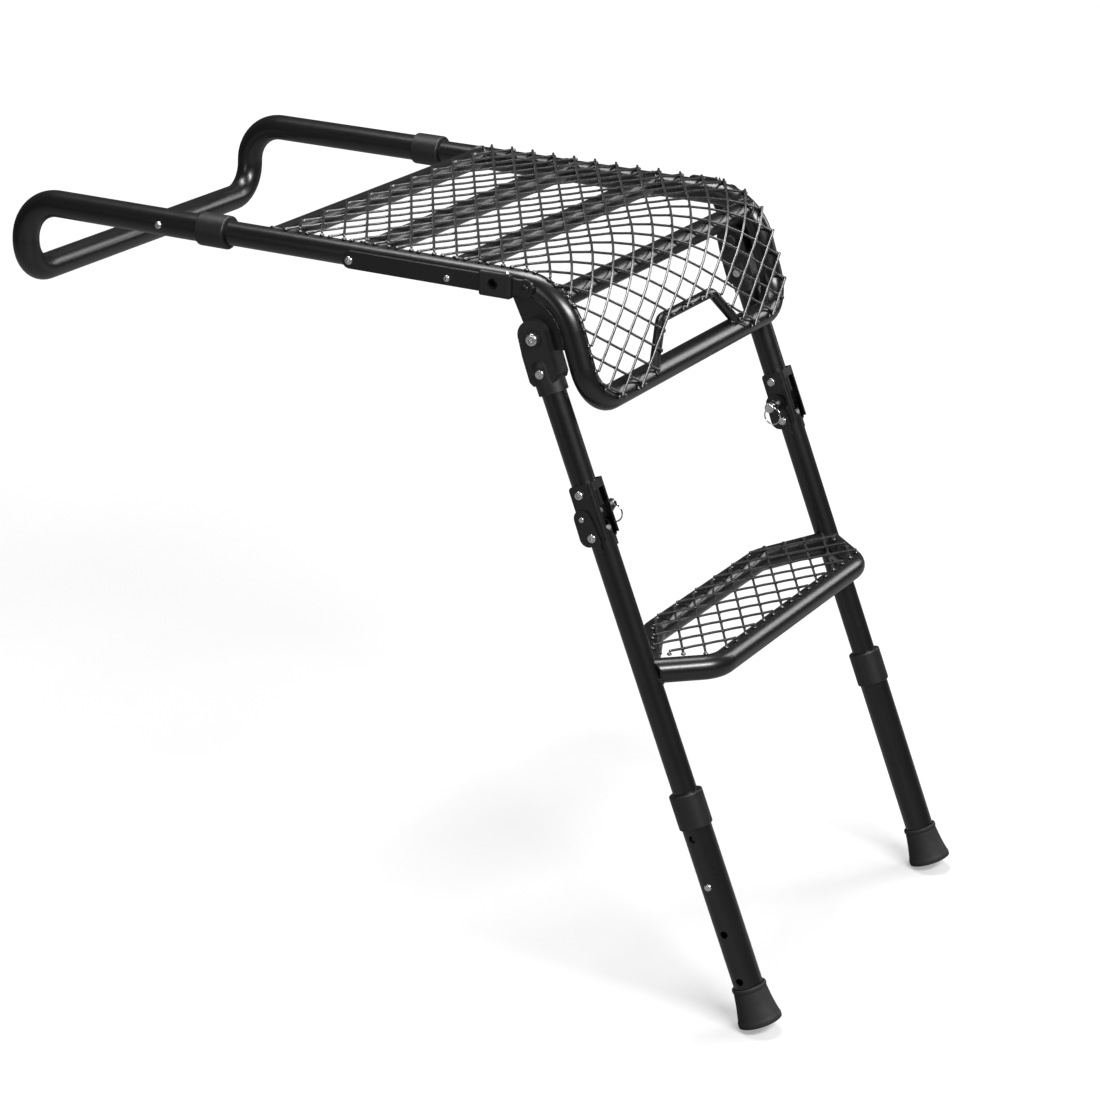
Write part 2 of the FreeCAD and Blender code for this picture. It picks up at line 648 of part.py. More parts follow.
def hull_plate(circles, x0, x1):
    """A plate whose outline wraps round circles.

    They are given as (y, z, radius), anticlockwise with y to the right and z up."""
    tangents = []
    for (y1, z1, r1), (y2, z2, r2) in zip(circles, circles[1:] + circles[:1]):
        dy, dz = y2 - y1, z2 - z1
        length = math.hypot(dy, dz)
        dy, dz = dy / length, dz / length
        along = (r1 - r2) / length
        square = math.sqrt(1 - along * along)
        ny, nz = dy * along + dz * square, dz * along - dy * square
        tangents.append((math.atan2(nz, ny),
                         Vec(x0, y1 + r1 * ny, z1 + r1 * nz),
                         Vec(x0, y2 + r2 * ny, z2 + r2 * nz)))
    edges = []
    for i, (y, z, radius) in enumerate(circles):
        start_angle, _, arc_start = tangents[i - 1]
        end_angle, arc_end, line_end = tangents[i]
        while end_angle < start_angle:
            end_angle += 2 * math.pi
        middle = (start_angle + end_angle) / 2
        arc_mid = Vec(x0, y + radius * math.cos(middle), z + radius * math.sin(middle))
        edges.append(Part.Arc(arc_start, arc_mid, arc_end).toShape())
        edges.append(Part.makeLine(arc_end, line_end))
    return Part.Face(Part.Wire(edges)).extrude(Vec(x1 - x0, 0, 0))


def cheeks(circles, inner, outer):
    return hull_plate(circles, -outer, -inner).fuse(hull_plate(circles, inner, outer))


def front_flanges():
    """The upper bracket's front edges, bent round each side of an open middle."""
    inner, outer = UPPER_CHEEK
    channel = box(-outer, -14.9, HINGE_AT - 4, outer, -6.0, BRACKET_TOP_AT)
    channel = round_edges(
        channel, 5.0, lambda edge: edge.BoundBox.ZLength > 20 and edge.BoundBox.YMax < -14)
    hollow = box(-inner, -12.9, HINGE_AT - 5, inner, 0.0, BRACKET_TOP_AT + 1)
    hollow = round_edges(
        hollow, 1.1, lambda edge: edge.BoundBox.ZLength > 20 and edge.BoundBox.YMax < -12)
    channel = channel.cut(hollow)
    channel = channel.cut(box(-9.5, -20, HINGE_AT - 10, 9.5, 0, BRACKET_TOP_AT - 9))

    def lower_corner(edge):
        bounds = edge.BoundBox
        return (bounds.ZMax < HINGE_AT - 3.9 and bounds.XLength < 1e-3
                and bounds.YLength > 1e-3 and bounds.YMax < -10)
    return round_edges(channel, 3.5, lower_corner)


def upper_hinge_bracket():
    inner = UPPER_CHEEK[0]
    circles = [       # y, station, radius
        (0, HINGE_AT, 10.5), (6.0, TOP_SCREW_AT + 5.5, 4.0), (-9.0, TOP_SCREW_AT + 6.5, 3.0),
    ]
    bracket = cheeks(circles, *UPPER_CHEEK)
    bracket = bracket.fuse(front_flanges()).removeSplitter()
    # round pads between the cheeks and the tube at the top screw
    for x in (-inner, TUBE_R - 1.0):
        bracket = bracket.fuse(rod_x(x, 0, TOP_SCREW_AT, 6.0, inner - TUBE_R + 1.0))
    bracket = bracket.cut(rod_up(UPPER_END_AT - 60, TUBE_R + FIT, 120)).removeSplitter()
    bracket = bracket.cut(cross_hole(TOP_SCREW_AT, TOP_SCREW_HOLE_R))
    bracket = bracket.cut(cross_hole(HINGE_AT, HINGE_HOLE_R))
    return bracket.cut(inboard_hole(LOCK_AT, 3.2))


def lower_hinge_bracket():
    inner, outer = LOWER_CHEEK
    circles = [       # y, station, radius
        (-3.5, HINGE_AT - 4.4, 4.8), (4.4, HINGE_AT + 1.0, 9.8), (4.4, LOCK_AT + 0.4, 9.2),
    ]
    bracket = cheeks(circles, inner, outer)
    # a tab on each cheek is welded to the lower tube below the hinge: x0, x1, top
    tabs = [
        (-outer, -inner, HINGE_AT - 6.0), (inner, outer, HINGE_AT - 6.0),
        (-inner - 0.5, -11.0, HINGE_AT - 13.5), (11.0, inner + 0.5, HINGE_AT - 13.5),
    ]
    for x0, x1, top in tabs:
        bracket = bracket.fuse(box(x0, -6.0, HINGE_AT - 17.0, x1, -0.5, top))
    bracket = bracket.removeSplitter()
    bracket = bracket.cut(rod_up(HINGE_AT - 40, TUBE_R + FIT, 60))
    bracket = bracket.cut(cross_hole(HINGE_AT, HINGE_HOLE_R))
    bracket = bracket.cut(inboard_hole(LOCK_AT, 3.1))
    return bracket.cut(outboard_hole(LOCK_AT, 1.55, y=LOCK_RIVET_W))


def through_screw(station, half_length):
    """A screw through a whole bracket, domed at both ends, with a hex recess outboard."""
    head_height = 2.6
    screw = headed_pin(station, half_length, shank_r=3.0, head_r=4.6,
                       head_height=head_height, rounding=1.5)
    return screw.cut(hex_prism(-half_length - head_height - 0.5, 0, station, 2.0, 2.2))


def lock_rivet():
    """The small rivet in the outboard cheek of the lower bracket."""
    inner, outer = LOWER_CHEEK
    head_x = -outer - 1.5
    shank = rod_x(-outer - 0.05, LOCK_RIVET_W, LOCK_AT, 1.5, outer - inner + 0.05)
    head = round_rims(rod_x(head_x, LOCK_RIVET_W, LOCK_AT, 2.9, 1.48), 1.0, head_x)
    return shank.fuse(head).removeSplitter()


save_pair("upper_hinge_bracket", on_leg(upper_hinge_bracket()))
save_pair("lower_hinge_bracket", on_leg(lower_hinge_bracket()))
save_both("upper_bracket_screws", on_leg(through_screw(TOP_SCREW_AT, UPPER_CHEEK[1])))
save_both("hinge_bolts", on_leg(through_screw(HINGE_AT, LOWER_CHEEK[1] + 0.05)))
save_both("lock_rivets", on_leg(lock_rivet()))

# ---------------------------------------------------------------- lock plungers
# On the inboard cheek of the lower bracket.
BOSS_X = LOWER_CHEEK[1]                  # face the boss stands on
BOSS_R, BOSS_LENGTH = 7.2, 14.0
PULL_RING_X = BOSS_X + BOSS_LENGTH + 4.6
PULL_RING_R, PULL_RING_WIRE_R = 9.4, 0.8
SPRING_R, SPRING_WIRE_R = 3.9, 0.45
SPRING_PITCH, SPRING_LENGTH = 1.75, 8.6


def lock_rod(x, radius, length):
    """A cylinder on the lock axis that starts at x and runs inboard."""
    return rod_x(x, 0, LOCK_AT, radius, length)


def plunger_boss():
    boss = round_rims(lock_rod(BOSS_X, BOSS_R, BOSS_LENGTH), 1.2, BOSS_X + BOSS_LENGTH)
    boss = boss.fuse(lock_rod(BOSS_X, 9.2, 2.0)).removeSplitter()
    boss = boss.cut(lock_rod(BOSS_X - 1, 5.2, BOSS_LENGTH - 1.0))
    return boss.cut(lock_rod(BOSS_X - 1, 2.58, BOSS_LENGTH + 3))


def lock_plunger():
    """The pin with its collar, stem and knob, drilled for the pull ring."""
    cheek_x = UPPER_CHEEK[1]
    pin = lock_rod(cheek_x + 0.05, 3.0, BOSS_X + 1.5 - cheek_x)
    pin = pin.fuse(lock_rod(BOSS_X + 0.1, 4.9, 1.4))
    pin = pin.fuse(lock_rod(BOSS_X + 0.5, 2.5, BOSS_LENGTH + 7.0)).removeSplitter()
    knob_x, knob_length = BOSS_X + BOSS_LENGTH + 1.0, 7.0
    knob = round_rims(lock_rod(knob_x, 5.4, knob_length), 1.4, knob_x + knob_length)
    pin = pin.fuse(knob).removeSplitter()
    return pin.cut(cyl(Vec(PULL_RING_X, -10, LOCK_AT), Vec(0, 1, 0), 2.6, 20))


def plunger_spring():
    helix = Part.makeHelix(SPRING_PITCH, SPRING_LENGTH, SPRING_R)
    profile = Part.Wire([Part.makeCircle(SPRING_WIRE_R, Vec(SPRING_R, 0, 0), Vec(0, 1, 0))])
    spring = Part.Wire(helix).makePipeShell([profile], True, True)
    spring.Placement = FreeCAD.Placement(
        Vec(BOSS_X + 2.1, 0, LOCK_AT), FreeCAD.Rotation(Vec(0, 1, 0), 90))
    return spring


def pull_ring():
    """A ring that hangs down the leg from the knob, square to the lock axis."""
    centre = Vec(PULL_RING_X, 0, LOCK_AT - PULL_RING_R)
    return Part.makeTorus(PULL_RING_R, PULL_RING_WIRE_R, centre, ACROSS)


save_pair("plunger_boss", on_leg(plunger_boss()))
save_pair("lock_plunger", on_leg(lock_plunger()))
save_pair("plunger_spring", on_leg(plunger_spring()))
save_pair("pull_ring", on_leg(pull_ring()))


# ---------------------------------------------------------------- lower leg tubes
def lower_leg_tube():
    """The tube from the hinge down into the foot sleeve, rounded over at the hinge bolt."""
    cap = rod_x(-30, 0, HINGE_AT, TUBE_R - FIT, 60)
    cap = cap.fuse(box(-30, -30, 0, 30, 30, HINGE_AT))
    tube = rod_up(INNER_END_AT, TUBE_R, HINGE_AT + TUBE_R - INNER_END_AT).common(cap)
    tube = tube.cut(rod_up(INNER_END_AT - 1, TUBE_BORE, HINGE_AT + 40 - INNER_END_AT))
    tube = tube.cut(cross_hole(HINGE_AT, HINGE_HOLE_R))
    return largest(tube.cut(outboard_hole(BUTTON_AT, 4.2)))


save_pair("lower_leg_tube", on_leg(lower_leg_tube()))

# ---------------------------------------------------------------- step
STEP_Z = 357.0
STEP_LEG_Y = STEP_Z * LEAN_SIN / LEAN_COS        # leg axis at the height of the step
FRONT_X, FRONT_Y = 171.5, 89.7                   # corners of the front tube
BACK_X, BACK_Y = 127.0, 186.5                    # corners of the back tube
STEP_CORNER_R = 36.0
LEFT_LEG_SOLID = cyl(axis_point(INNER_END_AT), Vec(0, LEAN_SIN, LEAN_COS), TUBE_R,
                     HINGE_AT - INNER_END_AT)
RIGHT_LEG_SOLID = mirror(LEFT_LEG_SOLID)


def cut_legs(shape):
    return shape.cut(LEFT_LEG_SOLID).cut(RIGHT_LEG_SOLID)


def step_bars(radius):
    """Front and back bars of the step, both from leg axis to leg axis."""
    front, back = [
        sweep_round([Vec(-LEG_X, STEP_LEG_Y, STEP_Z), Vec(-x, y, STEP_Z),
                     Vec(x, y, STEP_Z), Vec(LEG_X, STEP_LEG_Y, STEP_Z)],
                    [STEP_CORNER_R] * 2, radius)
        for x, y in ((FRONT_X, FRONT_Y), (BACK_X, BACK_Y))]
    return front.fuse(back)


def step_ring():
    ring = cut_legs(step_bars(TUBE_R).cut(step_bars(TUBE_BORE)))
    # keep the part between the legs
    return largest(ring.common(box(-LEG_X, 0, STEP_Z - 30, LEG_X, 300, STEP_Z + 30)))


def step_wire_ends(start_x, slope):
    """The (x, y) points where a wire line crosses the outline of the step."""
    outline = [
        (-LEG_X + 14, STEP_LEG_Y), (-FRONT_X, FRONT_Y), (FRONT_X, FRONT_Y),
        (LEG_X - 14, STEP_LEG_Y), (BACK_X, BACK_Y), (-BACK_X, BACK_Y),
    ]
    ends = []
    for (x1, y1), (x2, y2) in zip(outline, outline[1:] + outline[:1]):
        above1 = y1 - STEP_LEG_Y - slope * (x1 - start_x)
        above2 = y2 - STEP_LEG_Y - slope * (x2 - start_x)
        if above1 * above2 < 0:
            part = above1 / (above1 - above2)
            ends.append((x1 + part * (x2 - x1), y1 + part * (y2 - y1)))
    return ends


def step_layer(sign, shift, height):
    """Straight parallel wires from tube to tube; sign sets their slant."""
    wires = []
    for k in range(-8, 9):
        ends = step_wire_ends((k + 0.5) * MESH_PITCH + shift, math.tan(MESH_ANGLE) * sign)
        if len(ends) != 2:
            continue
        start, end = [Vec(x, y, STEP_Z + height) for x, y in ends]
        if (end - start).Length >= 30:
            wires.append(cut_legs(straight_wire(start, end)))
    return wires


save("step_ring", step_ring())
save("step_mesh_lower_wires",
     *step_layer(sign=1, shift=5.0, height=TUBE_R + WIRE_R + 0.02))
save("step_mesh_upper_wires",
     *step_layer(sign=-1, shift=18.3, height=TUBE_R + 3 * WIRE_R + 0.06))

# ---------------------------------------------------------------- telescoping feet
SLEEVE_R = 15.35         # lower, telescoping leg sleeve
SLEEVE_BORE = 13.85
SLEEVE_TOP_AT = 249
HOLE_PITCH = 52.0
COLLAR_BOTTOM_AT, COLLAR_TOP_AT = 219.0, 256.0
TIP_R, TIP_TOP_R, TIP_HEIGHT = 23.0, 18.0, 41.0
TIP_AT = TIP_R * LEAN_SIN / LEAN_COS - (FLOOR_LIFT + 0.424) / LEAN_COS     # underside
SLEEVE_AT = TIP_AT + 8                                                     # sleeve's lower end


def tube_end_glide():
    """A flanged ring plugged into the lower end of the leg tube."""
    glide = rod_up(INNER_END_AT - 3.0, SLEEVE_BORE - 0.07, 3.0)
    glide = glide.fuse(rod_up(INNER_END_AT - 0.5, TUBE_BORE - FIT, 12.0)).removeSplitter()
    glide = glide.cut(rod_up(INNER_END_AT - 5, 8.5, 30))
    # the flange is notched where the snap button runs past it
    return glide.cut(box(-20, -4.3, INNER_END_AT - 5, -TUBE_R + 0.1, 4.3, INNER_END_AT))


def leg_button_spring():
    spring = leaf_spring()
    spring.translate(Vec(0, 0, BUTTON_AT - 4))
    return spring


def foot_sleeve():
    sleeve = rod_up(SLEEVE_AT, SLEEVE_R, SLEEVE_TOP_AT - SLEEVE_AT)
    sleeve = sleeve.cut(rod_up(TIP_AT, SLEEVE_BORE, 300))
    for k in (1, 0, -1, -2):
        sleeve = sleeve.cut(outboard_hole(BUTTON_AT + k * HOLE_PITCH, BUTTON_HOLE_R))
    return sleeve


def leg_collar():
    """The collar over the sleeve's top, with a running fit on the leg tube."""
    collar = rod_up(COLLAR_BOTTOM_AT, COLLAR_R, COLLAR_TOP_AT - COLLAR_BOTTOM_AT)
    collar = round_edges(collar, COLLAR_ROUNDING)
    collar = collar.cut(rod_up(COLLAR_BOTTOM_AT - 1, SLEEVE_R + FIT,
                               SLEEVE_TOP_AT + 0.05 - COLLAR_BOTTOM_AT + 1))
    return collar.cut(rod_up(COLLAR_BOTTOM_AT - 1, RUNNING_BORE, 60))


def rubber_tip():
    """A tapered foot with two ring grooves underneath."""
    base, rim = 5.0, 4.0
    top_at = TIP_AT + TIP_HEIGHT
    tip = Part.makeCone(TIP_R, TIP_TOP_R, TIP_HEIGHT - base - rim, Vec(0, 0, TIP_AT + base))
    tip = tip.fuse(rod_up(TIP_AT, TIP_R, base))
    tip = tip.fuse(rod_up(top_at - rim, TIP_TOP_R, rim)).removeSplitter()

    def end_rim(edge):
        bounds = edge.BoundBox
        return bounds.ZLength < 1e-3 and any(abs(bounds.ZMin - z) < 1e-3
                                             for z in (TIP_AT, top_at))
    tip = round_edges(tip, 1.4, end_rim)
    tip = tip.cut(rod_up(SLEEVE_AT - 0.05, SLEEVE_R + FIT, 60))
    for radius in (19.0, 14.0):
        groove = rod_up(TIP_AT - 1, radius, 2.6).cut(rod_up(TIP_AT - 1, radius - 2.0, 2.6))
        tip = tip.cut(groove)
    return tip


save_both("tube_end_glides", on_leg(tube_end_glide()))
save_both("leg_button_springs", on_leg(leg_button_spring()))
save_pair("foot_sleeve", on_leg(foot_sleeve()))
save_pair("leg_collar", on_leg(leg_collar()))
save_pair("rubber_tip", on_leg(rubber_tip()))
save_pair("leg_snap_button", on_leg(snap_button(0, 0, BUTTON_AT, SLEEVE_R)))

# ---------------------------------------------------------------- hook frame over the tyre
HOOK_Y, HOOK_Z = 905.0, 652.0            # axis of the rear crossbar
HOOK_R, HOOK_CORNER_R = 45.0, 36.0
ARM_COLLAR_Y, ARM_COLLAR_LENGTH = 642, 34


def hook_frame_tube():
    """The arms over the rails, bent down at the rear into a crossbar."""
    points = [
        Vec(-RAIL_X, ARM_FRONT_Y, RAIL_Z), Vec(-RAIL_X, HOOK_Y, RAIL_Z),
        Vec(-RAIL_X, HOOK_Y, HOOK_Z), Vec(RAIL_X, HOOK_Y, HOOK_Z),
        Vec(RAIL_X, HOOK_Y, RAIL_Z), Vec(RAIL_X, ARM_FRONT_Y, RAIL_Z),
    ]
    radii = [HOOK_R, HOOK_CORNER_R, HOOK_CORNER_R, HOOK_R]
    hook = sweep_round(points, radii, ARM_R).cut(sweep_round(points, radii, RUNNING_BORE))
    return cut_arm_button_holes(hook, BUTTON_HOLE_R)


def arm_collar():
    """The collar over the front end of the arm tube."""
    def rail_rod(y, radius, length):
        return cyl(Vec(-RAIL_X, y, RAIL_Z), Vec(0, 1, 0), radius, length)

    collar = round_edges(rail_rod(ARM_COLLAR_Y, COLLAR_R, ARM_COLLAR_LENGTH), COLLAR_ROUNDING)
    collar = collar.cut(rail_rod(ARM_FRONT_Y - 0.05, ARM_R + FIT, 60))
    return collar.cut(rail_rod(630, RUNNING_BORE, 60))


def arm_button_spring():
    """The leaf spring laid along the rail with its fold to the front."""
    spring = leaf_spring()
    spring.Placement = FreeCAD.Placement(
        Vec(-RAIL_X, ARM_BUTTON_Y + 4, RAIL_Z), FreeCAD.Rotation(ACROSS, 90))
    return spring


save("hook_frame_tube", hook_frame_tube())
save_pair("arm_collar", arm_collar())
save_pair("arm_snap_button", snap_button(-RAIL_X, ARM_BUTTON_Y, RAIL_Z, ARM_R))
save_both("arm_button_springs", arm_button_spring())
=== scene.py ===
"""A folding ladder with a wire-mesh platform: two leaning legs, a mesh step and rubber feet.

The frame is in metres with z up and x across the ladder. Left is -x. The front is -y, where the
platform's nose bends down; the legs lean towards +y, the back, as they rise.
Dimensions are in CAD millimetres unless noted; cad() turns CAD places into frame metres.
"""
import itertools
import json
import math

import bmesh
import bpy
import numpy as np
from mathutils import Matrix, Vector


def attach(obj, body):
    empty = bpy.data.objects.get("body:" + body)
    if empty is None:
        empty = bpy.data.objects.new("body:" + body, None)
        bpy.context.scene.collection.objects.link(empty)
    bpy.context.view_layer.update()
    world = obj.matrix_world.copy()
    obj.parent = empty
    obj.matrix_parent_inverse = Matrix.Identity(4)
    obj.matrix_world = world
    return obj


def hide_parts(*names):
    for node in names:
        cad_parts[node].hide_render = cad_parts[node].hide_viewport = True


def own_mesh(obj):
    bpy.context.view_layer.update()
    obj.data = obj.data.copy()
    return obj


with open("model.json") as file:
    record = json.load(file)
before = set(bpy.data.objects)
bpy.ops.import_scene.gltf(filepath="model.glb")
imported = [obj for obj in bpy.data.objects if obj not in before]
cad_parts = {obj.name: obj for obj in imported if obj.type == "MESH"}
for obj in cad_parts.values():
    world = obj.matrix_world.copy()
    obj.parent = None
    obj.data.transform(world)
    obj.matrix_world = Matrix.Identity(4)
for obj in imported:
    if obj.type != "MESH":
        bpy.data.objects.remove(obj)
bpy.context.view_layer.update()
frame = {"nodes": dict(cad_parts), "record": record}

# ------------------------------------------------------------------ dimensions, mm
MM = 0.001
SIDES = ((-1, "left"), (1, "right"))
LIFT, Y_MID = 4.4, 450.0  # the CAD origin seen from the frame's

# Platform: side rails running forward, then bending down the nose to a crossbar
TUBE_R, CROSS_R = 12.7, 11.1
RAIL_X, RAIL_Z = 214.7, 734.4
NOSE_R, NOSE_SLOPE = 60.0, math.radians(71.4)
NOSE_Y, NOSE_Z = 216.2, 620.5  # axis of the crossbar
CORNER_R = 38.0
CROSS_TUBE_YS = (590.0, 482.0, 374.0)
NOSE_CROSS_ANGLE = math.radians(39.0)  # place of the nose cross tube round the bend
GUSSET_HALF = 2.0

# Legs and step
LEG_X, LEAN = 222.0, math.radians(22.1)
PIVOT_S, PIVOT_W = 737.6, -4.0
STEP_Z = 357.0
STEP_FRONT, STEP_BACK = (171.5, 89.7), (127.0, 186.5)  # x, y of the right-hand corners

# Welded wire
WIRE_R = 1.35
PITCH = 43.7
MESH_ANGLE = math.radians(31.1)  # between the wires and x
MESH_BACK_Y = 576.6
MESH_HALF = RAIL_X + 1.5
WIRE_MID = TUBE_R + 2 * WIRE_R + 0.26  # height of the mesh's middle over the tube axes
PLATFORM_SHIFT = {1: 19.85, -1: 14.65}  # x shift of each family of parallel wires
STEP_SHIFT = {1: 5.0, -1: 18.3}
SAMPLE = 1.1  # spacing of points along a wire

# Hand-hold in the nose: an opening that widens downwards, between two slanting rods
HOLD_TOP = 49.5  # height up the slope from the crossbar axis
HOLD_LEFT, HOLD_RIGHT = -54.0, 62.0
HOLD_SPREAD = 0.91  # widening on each side for a unit down the slope
ROD_R = 5.4

# Worked out from the above
SIN_LEAN, COS_LEAN = math.sin(LEAN), math.cos(LEAN)
SIN_NOSE, COS_NOSE = math.sin(NOSE_SLOPE), math.cos(NOSE_SLOPE)
VERTEX_Y = NOSE_Y + (RAIL_Z - NOSE_Z) * COS_NOSE / SIN_NOSE  # where flat and slope would meet
ARC_Y = VERTEX_Y + NOSE_R * math.tan(NOSE_SLOPE / 2)
ARC_Z = RAIL_Z - NOSE_R
FLAT_T = MESH_BACK_Y - ARC_Y
ARC_T = NOSE_SLOPE * (NOSE_R + TUBE_R + WIRE_R)
SLOPE_T = (RAIL_Z - NOSE_R + NOSE_R * COS_NOSE - NOSE_Z) / SIN_NOSE
CROSSBAR_T = FLAT_T + ARC_T + SLOPE_T
MESH_T = CROSSBAR_T + 3.0
STEP_LEG_Y = STEP_Z * SIN_LEAN / COS_LEAN  # leg axis at the height of the step


def cad(x, y, z):
    """CAD millimetres to frame metres."""
    return Vector((x / 1000.0, (y - Y_MID) / 1000.0, (z + LIFT) / 1000.0))


def leg_point(x, w, s, side):
    """A place by a leg: x inboard of its axis, w across it towards the back, s up it."""
    return cad(side * (LEG_X - x), s * SIN_LEAN + w * COS_LEAN, s * COS_LEAN - w * SIN_LEAN)


# ------------------------------------------------------------------ node helpers
BLACK, WHITE = (0, 0, 0, 1), (1, 1, 1, 1)


class Graph:
    """An emptied node tree; a value given to a node is either a socket to link or a number."""

    def __init__(self, owner):
        owner.use_nodes = True
        self.tree = owner.node_tree
        self.tree.nodes.clear()

    def node(self, kind, inputs, **settings):
        node = self.tree.nodes.new("ShaderNode" + kind)
        for key, value in settings.items():
            setattr(node, key, value)
        for key, value in inputs.items():
            if isinstance(value, bpy.types.NodeSocket):
                self.tree.links.new(value, node.inputs[key])
            else:
                node.inputs[key].default_value = value
        return node

    def noise(self, vector, scale, detail, roughness=0.55):
        inputs = {"Vector": vector, "Scale": scale, "Detail": detail, "Roughness": roughness}
        return self.node("TexNoise", inputs).outputs[0]

    def ramp(self, factor, start, end, low=BLACK, high=WHITE):
        node = self.node("ValToRGB", {0: factor})
        for element, place, color in zip(node.color_ramp.elements, (start, end), (low, high)):
            element.position = place
            element.color = color
        return node.outputs[0]

    def mix(self, color_a, color_b, factor):
        inputs = {6: color_a, 7: color_b, 0: factor}
        return self.node("Mix", inputs, data_type="RGBA").outputs[2]

    def math(self, operation, a, b):
        return self.node("Math", {0: a, 1: b}, operation=operation).outputs[0]

    def map_range(self, value, source, target):
        inputs = {0: value, 1: source[0], 2: source[1], 3: target[0], 4: target[1]}
        return self.node("MapRange", inputs).outputs[0]


def empty_material(name):
    material = bpy.data.materials.get(name) or bpy.data.materials.new(name)
    return material, Graph(material)


# ------------------------------------------------------------------ product materials
def edge_wear(g, normal, chip_noise, amount):
    """Broken-up wear on edges, where the bevelled normal leaves the true one."""
    bevel = g.node("Bevel", {0: 0.0009}, samples=4).outputs[0]
    facing = g.node("VectorMath", {0: bevel, 1: normal}, operation="DOT_PRODUCT")
    edge = g.ramp(facing.outputs["Value"], 0.90, 0.985, low=WHITE, high=BLACK)
    chips = g.ramp(chip_noise, 0.52, 0.62)
    return g.math("MULTIPLY", g.math("MULTIPLY", edge, chips), amount)


def settled_dust(g, normal, coords, amount):
    """Patches of dust on faces that look up."""
    upward = g.ramp(g.node("SeparateXYZ", {0: normal}).outputs[2], 0.35, 0.98)
    patches = g.ramp(g.noise(coords, scale=55.0, detail=7.0, roughness=0.7), 0.38, 0.72)
    return g.math("MULTIPLY", g.math("MULTIPLY", upward, patches), amount)


def scratches(g, coords, amount):
    """Thin streaks from a stretched, turned noise."""
    stretched = g.node("Mapping", {
        0: coords, "Scale": (1.0, 14.0, 14.0), "Rotation": (0.3, 0.4, 0.7)}).outputs[0]
    streaks = g.noise(stretched, scale=60.0, detail=4.0, roughness=0.5)
    return g.math("MULTIPLY", g.ramp(streaks, 0.655, 0.69), amount)


def build_material(name, dark, light, metallic, roughness, grain, bump, coat=0.0, dust=0.0,
                   wear=0.0, wear_color=(0.25, 0.25, 0.26), scratch=0.0, ior=1.5, brush=None,
                   specular=0.5):
    """Mottled colour, uneven gloss and grain, with optional wear, dust, scratches and brushing.

    roughness is a (low, high) pair, grain a noise scale, brush a stretch of the brushed grain.
    """
    material, g = empty_material(name)
    coords = g.node("TexCoord", {}).outputs["Object"]
    normal = g.node("NewGeometry", {}).outputs["Normal"] if wear or dust else None
    broad = g.noise(coords, scale=22.0, detail=5.0)
    middle = g.noise(coords, scale=190.0, detail=6.0, roughness=0.65)
    fine = g.noise(coords, scale=grain, detail=3.0)

    color = g.ramp(broad, 0.32, 0.72, low=(*dark, 1), high=(*light, 1))
    speck_color = (*(min(1.0, c * 1.6) for c in light), 1.0)
    color = g.mix(color, speck_color, g.ramp(fine, 0.60, 0.78, high=(0.5, 0.5, 0.5, 1)))
    rough = g.map_range(middle, source=(0.3, 0.7), target=roughness)
    if wear:
        color = g.mix(color, (*wear_color, 1.0), edge_wear(g, normal, middle, wear))
    if dust:
        dusty = settled_dust(g, normal, coords, dust)
        color = g.mix(color, (0.17, 0.165, 0.16, 1.0), dusty)
        rough = g.math("ADD", rough, g.math("MULTIPLY", dusty, 0.6))
    if scratch:
        scratch_color = (*(c * 3.0 + 0.02 for c in light), 1.0)
        color = g.mix(color, scratch_color, scratches(g, coords, scratch))
    height = fine
    if brush:
        brushed = g.node("Mapping", {0: coords, "Scale": brush}).outputs[0]
        lines = g.noise(brushed, scale=900.0, detail=2.0, roughness=0.5)
        height = g.math("ADD", fine, lines)
    grain_bump = g.node("Bump", {"Strength": bump, "Distance": 0.00025, "Height": height})
    broad_bump = g.node("Bump", {
        "Strength": bump * 0.5, "Distance": 0.0008, "Height": broad,
        "Normal": grain_bump.outputs[0]})
    surface = {
        "Normal": broad_bump.outputs[0], "Base Color": color, "Roughness": rough,
        "Metallic": metallic, "IOR": ior, "Specular IOR Level": specular}
    if coat:
        surface.update({"Coat Weight": coat, "Coat Roughness": 0.28})
    g.node("OutputMaterial", {0: g.node("BsdfPrincipled", surface).outputs[0]})
    return material


